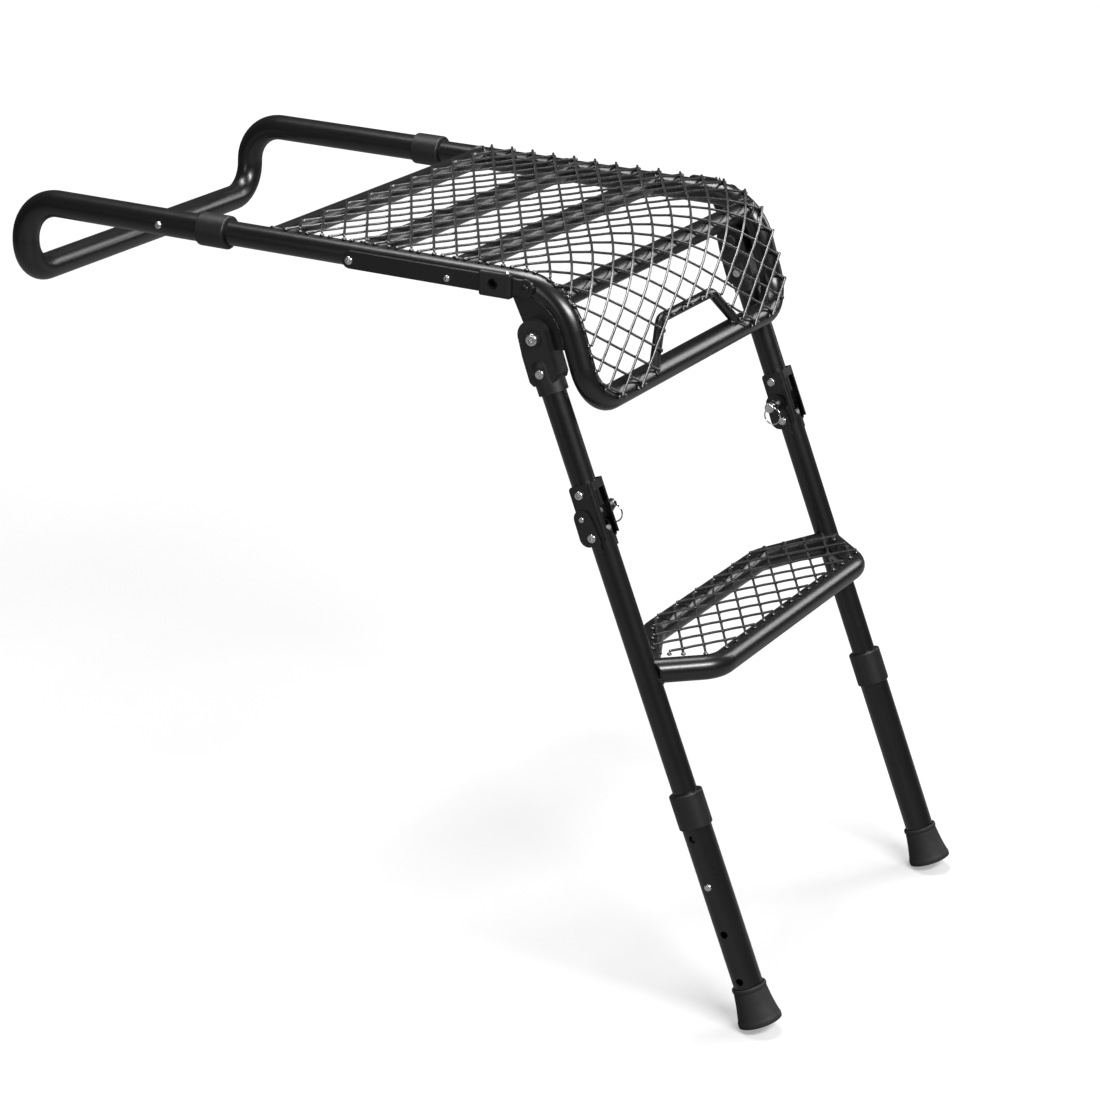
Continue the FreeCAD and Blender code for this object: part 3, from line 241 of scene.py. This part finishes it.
LOOKS = {
    "frame_coating": dict(
        dark=(0.0035, 0.0035, 0.0038), light=(0.0052, 0.0052, 0.0055), metallic=0.0,
        roughness=(0.27, 0.315), grain=1500.0, bump=0.07, coat=0.25, dust=0.015, wear=0.15,
        scratch=0.03),
    "mesh_coating": dict(
        dark=(0.010, 0.010, 0.0105), light=(0.017, 0.017, 0.018), metallic=0.0,
        roughness=(0.22, 0.32), grain=1900.0, bump=0.18, coat=1.0, dust=0.03, scratch=0.05,
        ior=1.75),
    "black_plastic": dict(
        dark=(0.006, 0.006, 0.0065), light=(0.010, 0.010, 0.0105), metallic=0.0,
        roughness=(0.38, 0.48), grain=2600.0, bump=0.30, dust=0.03, wear=0.25,
        wear_color=(0.09, 0.09, 0.09), scratch=0.15),
    "tip_rubber": dict(
        dark=(0.012, 0.012, 0.012), light=(0.020, 0.020, 0.0195), metallic=0.0,
        roughness=(0.62, 0.80), grain=1300.0, bump=0.7, dust=0.30, wear=0.3,
        wear_color=(0.07, 0.07, 0.068), specular=0.35),
    "zinc_steel": dict(
        dark=(0.60, 0.60, 0.59), light=(0.78, 0.78, 0.77), metallic=1.0,
        roughness=(0.18, 0.34), grain=900.0, bump=0.25, scratch=0.10, brush=(1.0, 6.0, 1.0)),
    "ring_chrome": dict(
        dark=(0.74, 0.74, 0.75), light=(0.84, 0.84, 0.85), metallic=1.0,
        roughness=(0.06, 0.16), grain=700.0, bump=0.06),
    "spring_steel": dict(
        dark=(0.20, 0.20, 0.205), light=(0.34, 0.34, 0.34), metallic=1.0,
        roughness=(0.25, 0.45), grain=1100.0, bump=0.3, brush=(8.0, 1.0, 1.0)),
}
MATERIALS = {name: build_material(name, **look) for name, look in LOOKS.items()}


def dress_frame():
    """Give every CAD piece the material of its slot."""
    slot_of = {part["node"]: part["material_slot"] for part in frame["record"]["subparts"]}
    for name, obj in frame["nodes"].items():
        material = MATERIALS[slot_of[name]]
        if not obj.material_slots:
            obj.data.materials.append(material)
        for material_slot in obj.material_slots:
            material_slot.material = material


dress_frame()


# ------------------------------------------------------------------ mesh builders, in metres
BEAD_STEP = 0.00045  # spacing of points along a weld bead
BEAD_RIPPLE = 0.0021  # length of one ripple
bead_seeds = itertools.count()  # each bead made gets its own ripple phase


class Shape:
    """Vertices and faces gathered for one object."""

    def __init__(self):
        self.verts, self.faces = [], []

    def tube(self, path, radius, sides=10, closed=False):
        """A round tube along path; radius is one number or one for each point."""
        count = len(path)
        radii = radius if hasattr(radius, "__len__") else [radius] * count
        start = len(self.verts)
        up = None
        for i, point in enumerate(path):
            if closed:
                along = path[(i + 1) % count] - path[i - 1]
            else:
                along = path[min(i + 1, count - 1)] - path[max(i - 1, 0)]
            along.normalize()
            if up is None:
                up = along.cross(Vector((0.31, 0.17, 0.93)))
                if up.length < 0.1:
                    up = along.cross(Vector((1, 0, 0)))
            up = up - along * up.dot(along)
            up.normalize()
            across = along.cross(up)
            for k in range(sides):
                a = 2 * math.pi * k / sides
                self.verts.append(point + (up * math.cos(a) + across * math.sin(a)) * radii[i])
        for i in range(count if closed else count - 1):
            ring, after = start + i * sides, start + ((i + 1) % count) * sides
            for k in range(sides):
                k1 = (k + 1) % sides
                self.faces.append((ring + k, ring + k1, after + k1, after + k))
        if not closed:
            self.faces.append(tuple(start + k for k in reversed(range(sides))))
            self.faces.append(tuple(start + (count - 1) * sides + k for k in range(sides)))

    def blob(self, centre, normal, radius, flatness, sides, rings):
        """A small flattened weld spot."""
        n = normal.normalized()
        u = n.cross(Vector((0.3, 0.5, 0.81)))
        u.normalize()
        v = n.cross(u)
        start = len(self.verts)
        self.verts.append(centre + n * radius * flatness)
        for i in range(1, rings):
            t = math.pi * i / rings
            for k in range(sides):
                a = 2 * math.pi * k / sides
                ring_offset = (u * math.cos(a) + v * math.sin(a)) * radius * math.sin(t)
                self.verts.append(centre + ring_offset + n * radius * flatness * math.cos(t))
        self.verts.append(centre - n * radius * flatness)
        first = start + 1
        for k in range(sides):
            self.faces.append((start, first + k, first + (k + 1) % sides))
        for i in range(rings - 2):
            for k in range(sides):
                p0 = first + i * sides + k
                p1 = first + i * sides + (k + 1) % sides
                self.faces.append((p0, p0 + sides, p1 + sides, p1))
        last = len(self.verts) - 1
        base = first + (rings - 2) * sides
        for k in range(sides):
            self.faces.append((last, base + (k + 1) % sides, base + k))

    def bead(self, path, radius, closed=True):
        """A weld bead with stacked ripples along the seam, tapered where it ends."""
        seed = next(bead_seeds)
        count = len(path)
        dense = []
        for i in range(count if closed else count - 1):
            after = path[(i + 1) % count]
            pieces = max(1, int((after - path[i]).length / BEAD_STEP))
            dense += [path[i].lerp(after, k / pieces) for k in range(pieces)]
        if not closed:
            dense.append(path[-1])
        radii = []
        run = 0.0
        for i in range(len(dense)):
            if i:
                run += (dense[i] - dense[i - 1]).length
            phase = (run / BEAD_RIPPLE + seed * 0.37) % 1.0
            ripple = 0.20 * math.sqrt(abs(math.sin(math.pi * phase)))
            radii.append(radius * (0.86 + ripple + 0.07 * math.sin(run * 371.0 + seed)))
        if not closed:
            for i in range(min(6, len(radii))):
                radii[i] *= 0.35 + 0.11 * i
                radii[-1 - i] *= 0.35 + 0.11 * i
        self.tube(dense, radii, sides=8, closed=closed)


def add(name, shape, slot, body):
    mesh = bpy.data.meshes.new(name)
    mesh.from_pydata([tuple(v) for v in shape.verts], [], shape.faces)
    mesh.update()
    mesh.polygons.foreach_set("use_smooth", [True] * len(mesh.polygons))
    obj = bpy.data.objects.new(name, mesh)
    mesh.materials.append(MATERIALS[slot])
    bpy.context.scene.collection.objects.link(obj)
    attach(obj, body)
    return obj


# ------------------------------------------------------------------ welded wire, common parts
# Family +1 lies below family -1. A wire's "cell" is a whole number where it crosses the other's.
CROSSING_WELD = dict(radius=0.00185, flatness=0.75, sides=8, rings=4)
END_WELD = dict(radius=0.0027, flatness=0.62, sides=10, rings=5)


def wire_height(family, cell):
    """Wires are pressed together where they cross and bow a little between."""
    bow = 0.12 * math.cos(2 * math.pi * cell + math.pi)
    return WIRE_MID - family * (WIRE_R * 0.93 + bow)


def wire_radius(cell):
    """Wire radius in metres, swelling at a crossing."""
    near = abs(cell - round(cell))
    return WIRE_R * (1.0 + 0.10 * math.exp(-(near / 0.035) ** 2)) / 1000.0


# ------------------------------------------------------------------ platform mesh
# t runs from the mesh's back edge forward, round the nose and down the slope.
def profile_point(t, height):
    """y and z at t, at a height over the rails' axis line."""
    if t <= FLAT_T:
        return MESH_BACK_Y - t, RAIL_Z + height
    angle = (t - FLAT_T) / (NOSE_R + TUBE_R + WIRE_R)
    r = NOSE_R + height
    if angle <= NOSE_SLOPE:
        return ARC_Y - r * math.sin(angle), ARC_Z + r * math.cos(angle)
    rest = t - FLAT_T - ARC_T
    return ARC_Y - r * SIN_NOSE - rest * COS_NOSE, ARC_Z + r * COS_NOSE - rest * SIN_NOSE


def profile_normal(t):
    (y0, z0), (y1, z1) = profile_point(t, 0.0), profile_point(t, 1.0)
    return Vector((0, y1 - y0, z1 - z0))


def in_opening(x, t):
    up_slope = CROSSBAR_T - t
    if up_slope > HOLD_TOP - 1.5:
        return False
    spread = HOLD_SPREAD * (HOLD_TOP - up_slope)
    return HOLD_LEFT - spread + 1.0 < x < HOLD_RIGHT + spread - 1.0


def corner_cut(x, t):
    """Whether a place lies outside the rounded lower corners."""
    up_slope = CROSSBAR_T - t
    dx, dt = abs(x) - (RAIL_X - CORNER_R), CORNER_R - up_slope
    return dx > 0 and dt > 0 and math.hypot(dx, dt) > CORNER_R + 1.5


def wire_runs(x_start, slope):
    """Stretches of t, in whole millimetres, where a wire lies on the mesh."""
    runs, start = [], None
    for t in range(int(MESH_T + 1e-9) + 1):
        x = x_start + slope * t
        inside = abs(x) <= MESH_HALF and not in_opening(x, t) and not corner_cut(x, t)
        if inside and start is None:
            start = t
        if not inside and start is not None:
            runs.append((start, t - 1))
            start = None
    if start is not None:
        runs.append((start, t))
    return [(a, b) for a, b in runs if b - a > 9]


def ends_on_tube(x_start, slope, t):
    return (abs(abs(x_start + slope * t) - MESH_HALF) < 3 or t < 2 or t > MESH_T - 3
            or in_opening(x_start + slope * (t + 3), t + 3)
            or in_opening(x_start + slope * (t - 3), t - 3)
            or corner_cut(x_start + slope * (t + 3), t + 3))


def platform_run(wires, welds, family, k, x_start, slope, a, b):
    other = PLATFORM_SHIFT[-family]
    pieces = max(6, int((b - a) / SAMPLE))
    path, radii = [], []
    for i in range(pieces + 1):
        t = a + (b - a) * i / pieces
        cell = (x_start + 2 * slope * t - other) / PITCH - 0.5
        height = wire_height(family, cell) + 0.10 * math.sin(0.021 * t + 1.7 * k)
        path.append(cad(x_start + slope * t, *profile_point(t, height)))
        radii.append(wire_radius(cell))
    wires.tube(path, radii)
    if family == 1:
        for cell in range(-60, 61):
            t = ((cell + 0.5) * PITCH + other - x_start) / (2 * slope)
            if a + 3 < t < b - 3:
                centre = cad(x_start + slope * t, *profile_point(t, WIRE_MID))
                welds.blob(centre, profile_normal(t), **CROSSING_WELD)
    for t in (a, b):
        if ends_on_tube(x_start, slope, t):
            centre = cad(x_start + slope * t, *profile_point(t, TUBE_R + 1.2))
            welds.blob(centre, profile_normal(t), **END_WELD)


def platform_mesh():
    wires, welds = Shape(), Shape()
    cot = 1.0 / math.tan(MESH_ANGLE)
    count = int((cot * MESH_T + MESH_HALF) / PITCH) + 2
    for family in (-1, 1):
        slope = family * cot
        for k in range(-count, count + 1):
            x_start = (k + 0.5) * PITCH + PLATFORM_SHIFT[family]
            for a, b in wire_runs(x_start, slope):
                platform_run(wires, welds, family, k, x_start, slope, a, b)
    return wires, welds


# ------------------------------------------------------------------ step mesh
STEP_OUTLINE = [  # x, y, from the left leg round the front
    (-LEG_X + 14, STEP_LEG_Y), (-STEP_FRONT[0], STEP_FRONT[1]), STEP_FRONT,
    (LEG_X - 14, STEP_LEG_Y), STEP_BACK, (-STEP_BACK[0], STEP_BACK[1])]


def outline_cuts(x_start, slope):
    """Where a wire's line crosses the step outline."""
    cuts = []
    for i, (x1, y1) in enumerate(STEP_OUTLINE):
        x2, y2 = STEP_OUTLINE[(i + 1) % len(STEP_OUTLINE)]
        g1 = y1 - STEP_LEG_Y - slope * (x1 - x_start)
        g2 = y2 - STEP_LEG_Y - slope * (x2 - x_start)
        if g1 * g2 < 0:
            f = g1 / (g1 - g2)
            cuts.append((x1 + f * (x2 - x1), y1 + f * (y2 - y1)))
    return cuts


def step_wire(wires, welds, family, tan, start, end):
    (xa, ya), (xb, yb) = start, end
    pieces = int(math.hypot(xb - xa, yb - ya) / SAMPLE)
    places, cells, path = [], [], []
    for i in range(pieces + 1):
        x = xa + (xb - xa) * i / pieces
        y = ya + (yb - ya) * i / pieces
        x_other = x + (y - STEP_LEG_Y) / tan * family
        cell = (x_other - STEP_SHIFT[-family]) / PITCH - 0.5
        places.append((x, y))
        cells.append(cell)
        path.append(cad(x, y, STEP_Z + wire_height(family, cell)))
    up = Vector((0, 0, 1))
    if family == 1:
        for i in range(5, pieces - 4):
            if math.floor(cells[i]) != math.floor(cells[i - 1]):
                welds.blob(cad(*places[i], STEP_Z + WIRE_MID), up, **CROSSING_WELD)
    wires.tube(path, [wire_radius(cell) for cell in cells])
    for x, y in (start, end):
        if abs(x) < LEG_X - 22:
            welds.blob(cad(x, y, STEP_Z + TUBE_R + 1.0), up, **END_WELD)


def step_mesh():
    wires, welds = Shape(), Shape()
    tan = math.tan(MESH_ANGLE)
    for family in (-1, 1):
        for k in range(-8, 9):
            x_start = (k + 0.5) * PITCH + STEP_SHIFT[family]
            cuts = outline_cuts(x_start, family * tan)
            if len(cuts) == 2 and math.dist(*cuts) >= 30:
                step_wire(wires, welds, family, tan, *cuts)
    return wires, welds


platform_wires, platform_welds = platform_mesh()
weave = add("platform_wire_mesh", platform_wires, "mesh_coating", "platform")
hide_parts("platform_mesh_lower_wires", "platform_mesh_upper_wires")
step_wires, step_welds = step_mesh()
step_weave = add("step_wire_mesh", step_wires, "mesh_coating", "ladder")
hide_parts("step_mesh_lower_wires", "step_mesh_upper_wires")
add("platform_wire_welds", platform_welds, "mesh_coating", "platform")
add("step_wire_welds", step_welds, "mesh_coating", "ladder")

# ------------------------------------------------------------------ weld beads
TUBE_BEAD, GUSSET_BEAD, ROD_BEAD, TAB_BEAD = 0.0017, 0.0015, 0.0013, 0.0009  # radii, metres
GUSSET_STEP = 2.0
HINGE_SEAM_X, HINGE_SEAM_S = 12.738, 532.3 - 17.0


def seam(start, along, radius, other_point, other_along, other_radius, count=72):
    """Where a round tube from start meets another round tube. Radii are in mm."""
    d, u = along.normalized(), other_along.normalized()
    e1 = d.cross(Vector((0.13, 0.21, 0.97)))
    e1.normalize()
    e2 = d.cross(e1)
    path = []
    for i in range(count):
        angle = 2 * math.pi * i / count
        ring = (e1 * math.cos(angle) + e2 * math.sin(angle)) * (radius * MM)
        base = start + ring - other_point
        base_across = base - u * base.dot(u)
        d_across = d - u * d.dot(u)
        # nearer root of the quadratic for the distance along the first tube
        a, b = d_across.dot(d_across), 2 * base_across.dot(d_across)
        c = base_across.dot(base_across) - (other_radius * MM) ** 2
        reach = (-b - math.sqrt(max(0.0, b * b - 4 * a * c))) / (2 * a)
        path.append(base + other_point + d * reach)
    return path


def nose_seam(side):
    """Where the nose cross tube meets the bend of a rail."""
    from_centre = NOSE_R + TUBE_R - CROSS_R
    tube_y = ARC_Y - from_centre * math.sin(NOSE_CROSS_ANGLE)
    tube_z = ARC_Z + from_centre * math.cos(NOSE_CROSS_ANGLE)
    path = []
    for i in range(72):
        a = 2 * math.pi * i / 72
        y, z = tube_y + CROSS_R * math.cos(a), tube_z + CROSS_R * math.sin(a)
        rho = math.hypot(y - ARC_Y, z - ARC_Z)
        x = RAIL_X - math.sqrt(max(0.0, TUBE_R ** 2 - (rho - NOSE_R) ** 2))
        path.append(cad(side * x, y, z))
    return path


def on_slope(x, up_slope, off):
    """A place on the nose slope, off its mid-plane, from the crossbar axis."""
    return cad(x, NOSE_Y + up_slope * COS_NOSE - off * SIN_NOSE,
               NOSE_Z + up_slope * SIN_NOSE + off * COS_NOSE)


def rod_seam(side):
    """Where a hand-hold rod meets the crossbar."""
    top_x = HOLD_LEFT if side < 0 else HOLD_RIGHT
    off = TUBE_R - ROD_R
    top = on_slope(top_x, HOLD_TOP, off)
    bottom = on_slope(top_x + side * HOLD_SPREAD * (HOLD_TOP - 3), 3, off)
    return seam(top, bottom - top, ROD_R, cad(0, NOSE_Y, NOSE_Z), Vector((1, 0, 0)), TUBE_R,
                count=48)


def gusset_seam(side, face):
    """The seam of one face of a gusset plate along the inside of the nose bend."""
    depth = math.sqrt(TUBE_R ** 2 - (LEG_X + face - RAIL_X) ** 2)
    pivot_y = PIVOT_S * SIN_LEAN + PIVOT_W * COS_LEAN
    pivot_z = PIVOT_S * COS_LEAN - PIVOT_W * SIN_LEAN
    path = []
    y = pivot_y + 30
    while y > ARC_Y:
        path.append((y, RAIL_Z - depth))
        y -= GUSSET_STEP
    for i in range(25):
        a = NOSE_SLOPE * i / 24
        r = NOSE_R - depth
        path.append((ARC_Y - r * math.sin(a), ARC_Z + r * math.cos(a)))
    y_end, z_end = path[-1]
    k = 1
    while z_end - GUSSET_STEP * k * SIN_NOSE > pivot_z - 6:
        path.append((y_end - GUSSET_STEP * k * COS_NOSE, z_end - GUSSET_STEP * k * SIN_NOSE))
        k += 1
    return [cad(side * (LEG_X + face), y, z) for y, z in path]


def platform_beads():
    beads = Shape()
    cross_z = RAIL_Z + TUBE_R - CROSS_R
    for y in CROSS_TUBE_YS:
        for side, _ in SIDES:
            path = seam(cad(0, y, cross_z), Vector((side, 0, 0)), CROSS_R,
                        cad(side * RAIL_X, y, RAIL_Z), Vector((0, 1, 0)), TUBE_R)
            beads.bead(path, TUBE_BEAD)
    for side, _ in SIDES:
        beads.bead(nose_seam(side), TUBE_BEAD)
    for side, _ in SIDES:
        beads.bead(rod_seam(side), ROD_BEAD)
    for side, _ in SIDES:
        for face in (GUSSET_HALF, -GUSSET_HALF):
            beads.bead(gusset_seam(side, face), GUSSET_BEAD, closed=False)
    return beads


def step_arm_bead(beads, side, corner, other_corner):
    """The bead of a step tube on a leg, without the part the other step tube covers."""
    start, end = cad(side * corner[0], corner[1], STEP_Z), cad(side * LEG_X, STEP_LEG_Y, STEP_Z)
    path = seam(start, end - start, TUBE_R, cad(side * LEG_X, 0, 0),
                Vector((0, SIN_LEAN, COS_LEAN)), TUBE_R)
    other = cad(side * other_corner[0], other_corner[1], STEP_Z)
    axis = (end - other).normalized()
    keep = []
    for point in path:
        v = point - other
        keep.append((v - axis * v.dot(axis)).length > (TUBE_R - 0.3) * MM)
    if all(keep):
        beads.bead(path, TUBE_BEAD)
        return
    count = len(path)
    i = next(i for i in range(count) if keep[i] and not keep[i - 1])
    run = []
    while keep[i % count] and len(run) < count:
        run.append(path[i % count])
        i += 1
    beads.bead(run, TUBE_BEAD, closed=False)


def ladder_beads():
    beads = Shape()
    for side, _ in SIDES:
        step_arm_bead(beads, side, STEP_FRONT, STEP_BACK)
        step_arm_bead(beads, side, STEP_BACK, STEP_FRONT)
        # tabs of the lower hinge bracket on the leg
        for x in (-HINGE_SEAM_X, HINGE_SEAM_X):
            path = [leg_point(x, w, HINGE_SEAM_S, side) for w in np.linspace(-6.0, -0.5, 8)]
            beads.bead(path, TAB_BEAD, closed=False)
    return beads


add("platform_weld_beads", platform_beads(), "frame_coating", "platform")
add("ladder_weld_beads", ladder_beads(), "frame_coating", "ladder")

# ------------------------------------------------------------------ rubber feet
FOOT_BASE_S = 23.0 * SIN_LEAN / COS_LEAN - (LIFT + 0.424) / COS_LEAN
FOOT_PROFILE = [  # radius, distance up the leg from the foot's base
    # tread
    (0.6, 0.9), (10.5, 0.9), (11.0, 0.1), (13.6, 0.05), (14.0, 1.0), (16.8, 1.0),
    (17.2, 0.05), (19.6, 0.02), (20.0, 0.9), (20.9, 0.9),
    # rim
    (21.2, 0.02), (22.1, 0.22), (22.8, 0.6), (22.95, 1.6), (22.9, 4.6), (22.6, 5.6),
    # hollow flank
    *((22.2 - 4.6 * f - 0.5 * math.sin(math.pi * f), 6.2 + 28.2 * f)
      for f in (i / 12.0 for i in range(13))),
    # collar
    (17.45, 35.2), (17.2, 36.0), (17.3, 36.6), (17.95, 37.2), (18.15, 38.2), (18.1, 39.8),
    (17.7, 40.7), (17.0, 41.0), (16.1, 40.9), (15.6, 40.2), (15.42, 38.5),
    # socket
    (15.40, 8.0), (0.6, 8.0),
]


def foot_shape(side, sides=96):
    """The foot profile turned about the leg axis."""
    shape = Shape()
    for radius, rise in FOOT_PROFILE:
        for k in range(sides):
            a = 2 * math.pi * k / sides
            shape.verts.append(leg_point(
                radius * math.cos(a), radius * math.sin(a), FOOT_BASE_S + rise, side))
    count = len(FOOT_PROFILE)
    for i in range(count):
        ring, after = i * sides, ((i + 1) % count) * sides
        for k in range(sides):
            k1 = (k + 1) % sides
            a0, a1, b0, b1 = ring + k, ring + k1, after + k, after + k1
            shape.faces.append((a0, a1, b1, b0) if side < 0 else (a0, b0, b1, a1))
    return shape


def face_outwards(mesh):
    bm = bmesh.new()
    bm.from_mesh(mesh)
    bmesh.ops.recalc_face_normals(bm, faces=bm.faces)
    bm.to_mesh(mesh)
    bm.free()


for side, side_name in SIDES:
    foot = add("rubber_foot_" + side_name, foot_shape(side), "tip_rubber", side_name + "_foot")
    face_outwards(foot.data)
    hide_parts("rubber_tip_" + side_name)

# ------------------------------------------------------------------ lock plunger springs
LOCK_S = 552.6
SPRING_X, SPRING_LEN, SPRING_R, SPRING_PITCH = 19.6, 8.6, 3.9, 1.75
SPRING_WIRE_R = 0.00045  # metres


def spring_shape(side):
    path = []
    for i in range(241):
        f = i / 240.0
        a = 2 * math.pi * f * SPRING_LEN / SPRING_PITCH
        path.append(leg_point(SPRING_X + SPRING_LEN * f, SPRING_R * math.cos(a),
                              LOCK_S + SPRING_R * math.sin(a), side))
    shape = Shape()
    shape.tube(path, SPRING_WIRE_R, sides=8)
    return shape


for side, side_name in SIDES:
    spring = add("lock_spring_" + side_name, spring_shape(side), "spring_steel", "ladder")
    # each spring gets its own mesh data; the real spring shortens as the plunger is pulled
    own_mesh(spring)
    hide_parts("plunger_spring_" + side_name)


# ------------------------------------------------------------------ stage, light, camera
def floor_material():
    material, g = empty_material("floor_paint")
    camera_ray = g.node("LightPath", {}).outputs["Is Camera Ray"]
    patches = g.node("TexNoise", {"Scale": 0.6}).outputs[0]
    paint = g.ramp(patches, 0.0, 1.0, low=(0.46, 0.46, 0.46, 1), high=(0.50, 0.50, 0.50, 1))
    # a darker floor in the reflections keeps the black coating black
    color = g.mix((0.20, 0.20, 0.20, 1), paint, camera_ray)
    # the floor stays evenly pale out of the lamps' reach, for the camera only
    coords = g.node("TexCoord", {}).outputs["Object"]
    distance = g.node("VectorMath", {0: coords}, operation="LENGTH").outputs["Value"]
    far_glow = g.map_range(distance, source=(0.7, 3.6), target=(0.0, 0.58))
    glow = g.math("MULTIPLY", g.math("ADD", far_glow, 0.36), camera_ray)
    surface = g.node("BsdfPrincipled", {
        "Base Color": color, "Roughness": 0.75, "Emission Color": WHITE,
        "Emission Strength": glow})
    g.node("OutputMaterial", {0: surface.outputs[0]})
    return material


def add_floor(half=9):
    mesh = bpy.data.meshes.new("floor")
    corners = [(-half, -half, 0), (half, -half, 0), (half, half, 0), (-half, half, 0)]
    mesh.from_pydata(corners, [], [(0, 1, 2, 3)])
    floor = bpy.data.objects.new("floor", mesh)
    mesh.materials.append(floor_material())
    bpy.context.scene.collection.objects.link(floor)


def add_world():
    """A faint even light that the camera sees as a pale backdrop."""
    world = bpy.data.worlds.new("studio")
    bpy.context.scene.world = world
    g = Graph(world)
    ambient = g.node("Background", {0: WHITE, 1: 0.07}).outputs[0]
    backdrop = g.node("Background", {0: (0.96, 0.96, 0.96, 1), 1: 1.0}).outputs[0]
    camera_ray = g.node("LightPath", {}).outputs["Is Camera Ray"]
    shader = g.node("MixShader", {0: camera_ray, 1: ambient, 2: backdrop})
    g.node("OutputWorld", {0: shader.outputs[0]})


def add_area_light(name, location, target, width, height, power):
    light = bpy.data.lights.new(name, "AREA")
    light.shape = "RECTANGLE"
    light.size, light.size_y = width, height
    light.energy = power
    obj = bpy.data.objects.new(name, light)
    obj.location = location
    aim = Vector(target) - Vector(location)
    obj.rotation_euler = aim.to_track_quat("-Z", "Y").to_euler()
    bpy.context.scene.collection.objects.link(obj)


# The camera's pose: CAD mm to view axes (x right, y down, z ahead) by a turn, then a shift
VIEW_TURN = Vector((1.7238892753736534, -1.0023541631644814, 0.7247268274775764))
VIEW_SHIFT = Vector((322.3652852996853, 417.61157947479405, 3541.326113597736))


def add_camera():
    to_cad = Matrix.Rotation(VIEW_TURN.length, 3, VIEW_TURN.normalized()).transposed()
    place = -(to_cad @ VIEW_SHIFT)
    data = bpy.data.cameras.new("camera")
    data.sensor_width = 36.0
    data.lens = 108.12758892
    data.clip_end = 60.0
    camera = bpy.data.objects.new("camera", data)
    # Blender's camera looks along its -z with y up
    turn = to_cad @ Matrix(((1, 0, 0), (0, -1, 0), (0, 0, -1)))
    camera.matrix_world = Matrix.Translation(cad(*place)) @ turn.to_4x4()
    scene = bpy.context.scene
    scene.collection.objects.link(camera)
    scene.camera = camera
    scene.view_settings.view_transform = "Standard"
    scene.view_settings.look = "None"


add_floor()
add_world()
add_area_light("key", location=(-1.25, -2.35, 2.55), target=(0, -0.05, 0.55),
               width=1.9, height=0.65, power=135.0)
add_area_light("top", location=(0.3, 0.35, 2.9), target=(0, 0.0, 0.6),
               width=1.8, height=0.9, power=78.0)
add_area_light("side", location=(-3.2, 0.9, 1.3), target=(0, 0.0, 0.5),
               width=0.7, height=1.9, power=11.0)
add_area_light("rim", location=(2.3, -1.3, 1.7), target=(0, -0.1, 0.45),
               width=0.6, height=1.7, power=20.0)
add_camera()
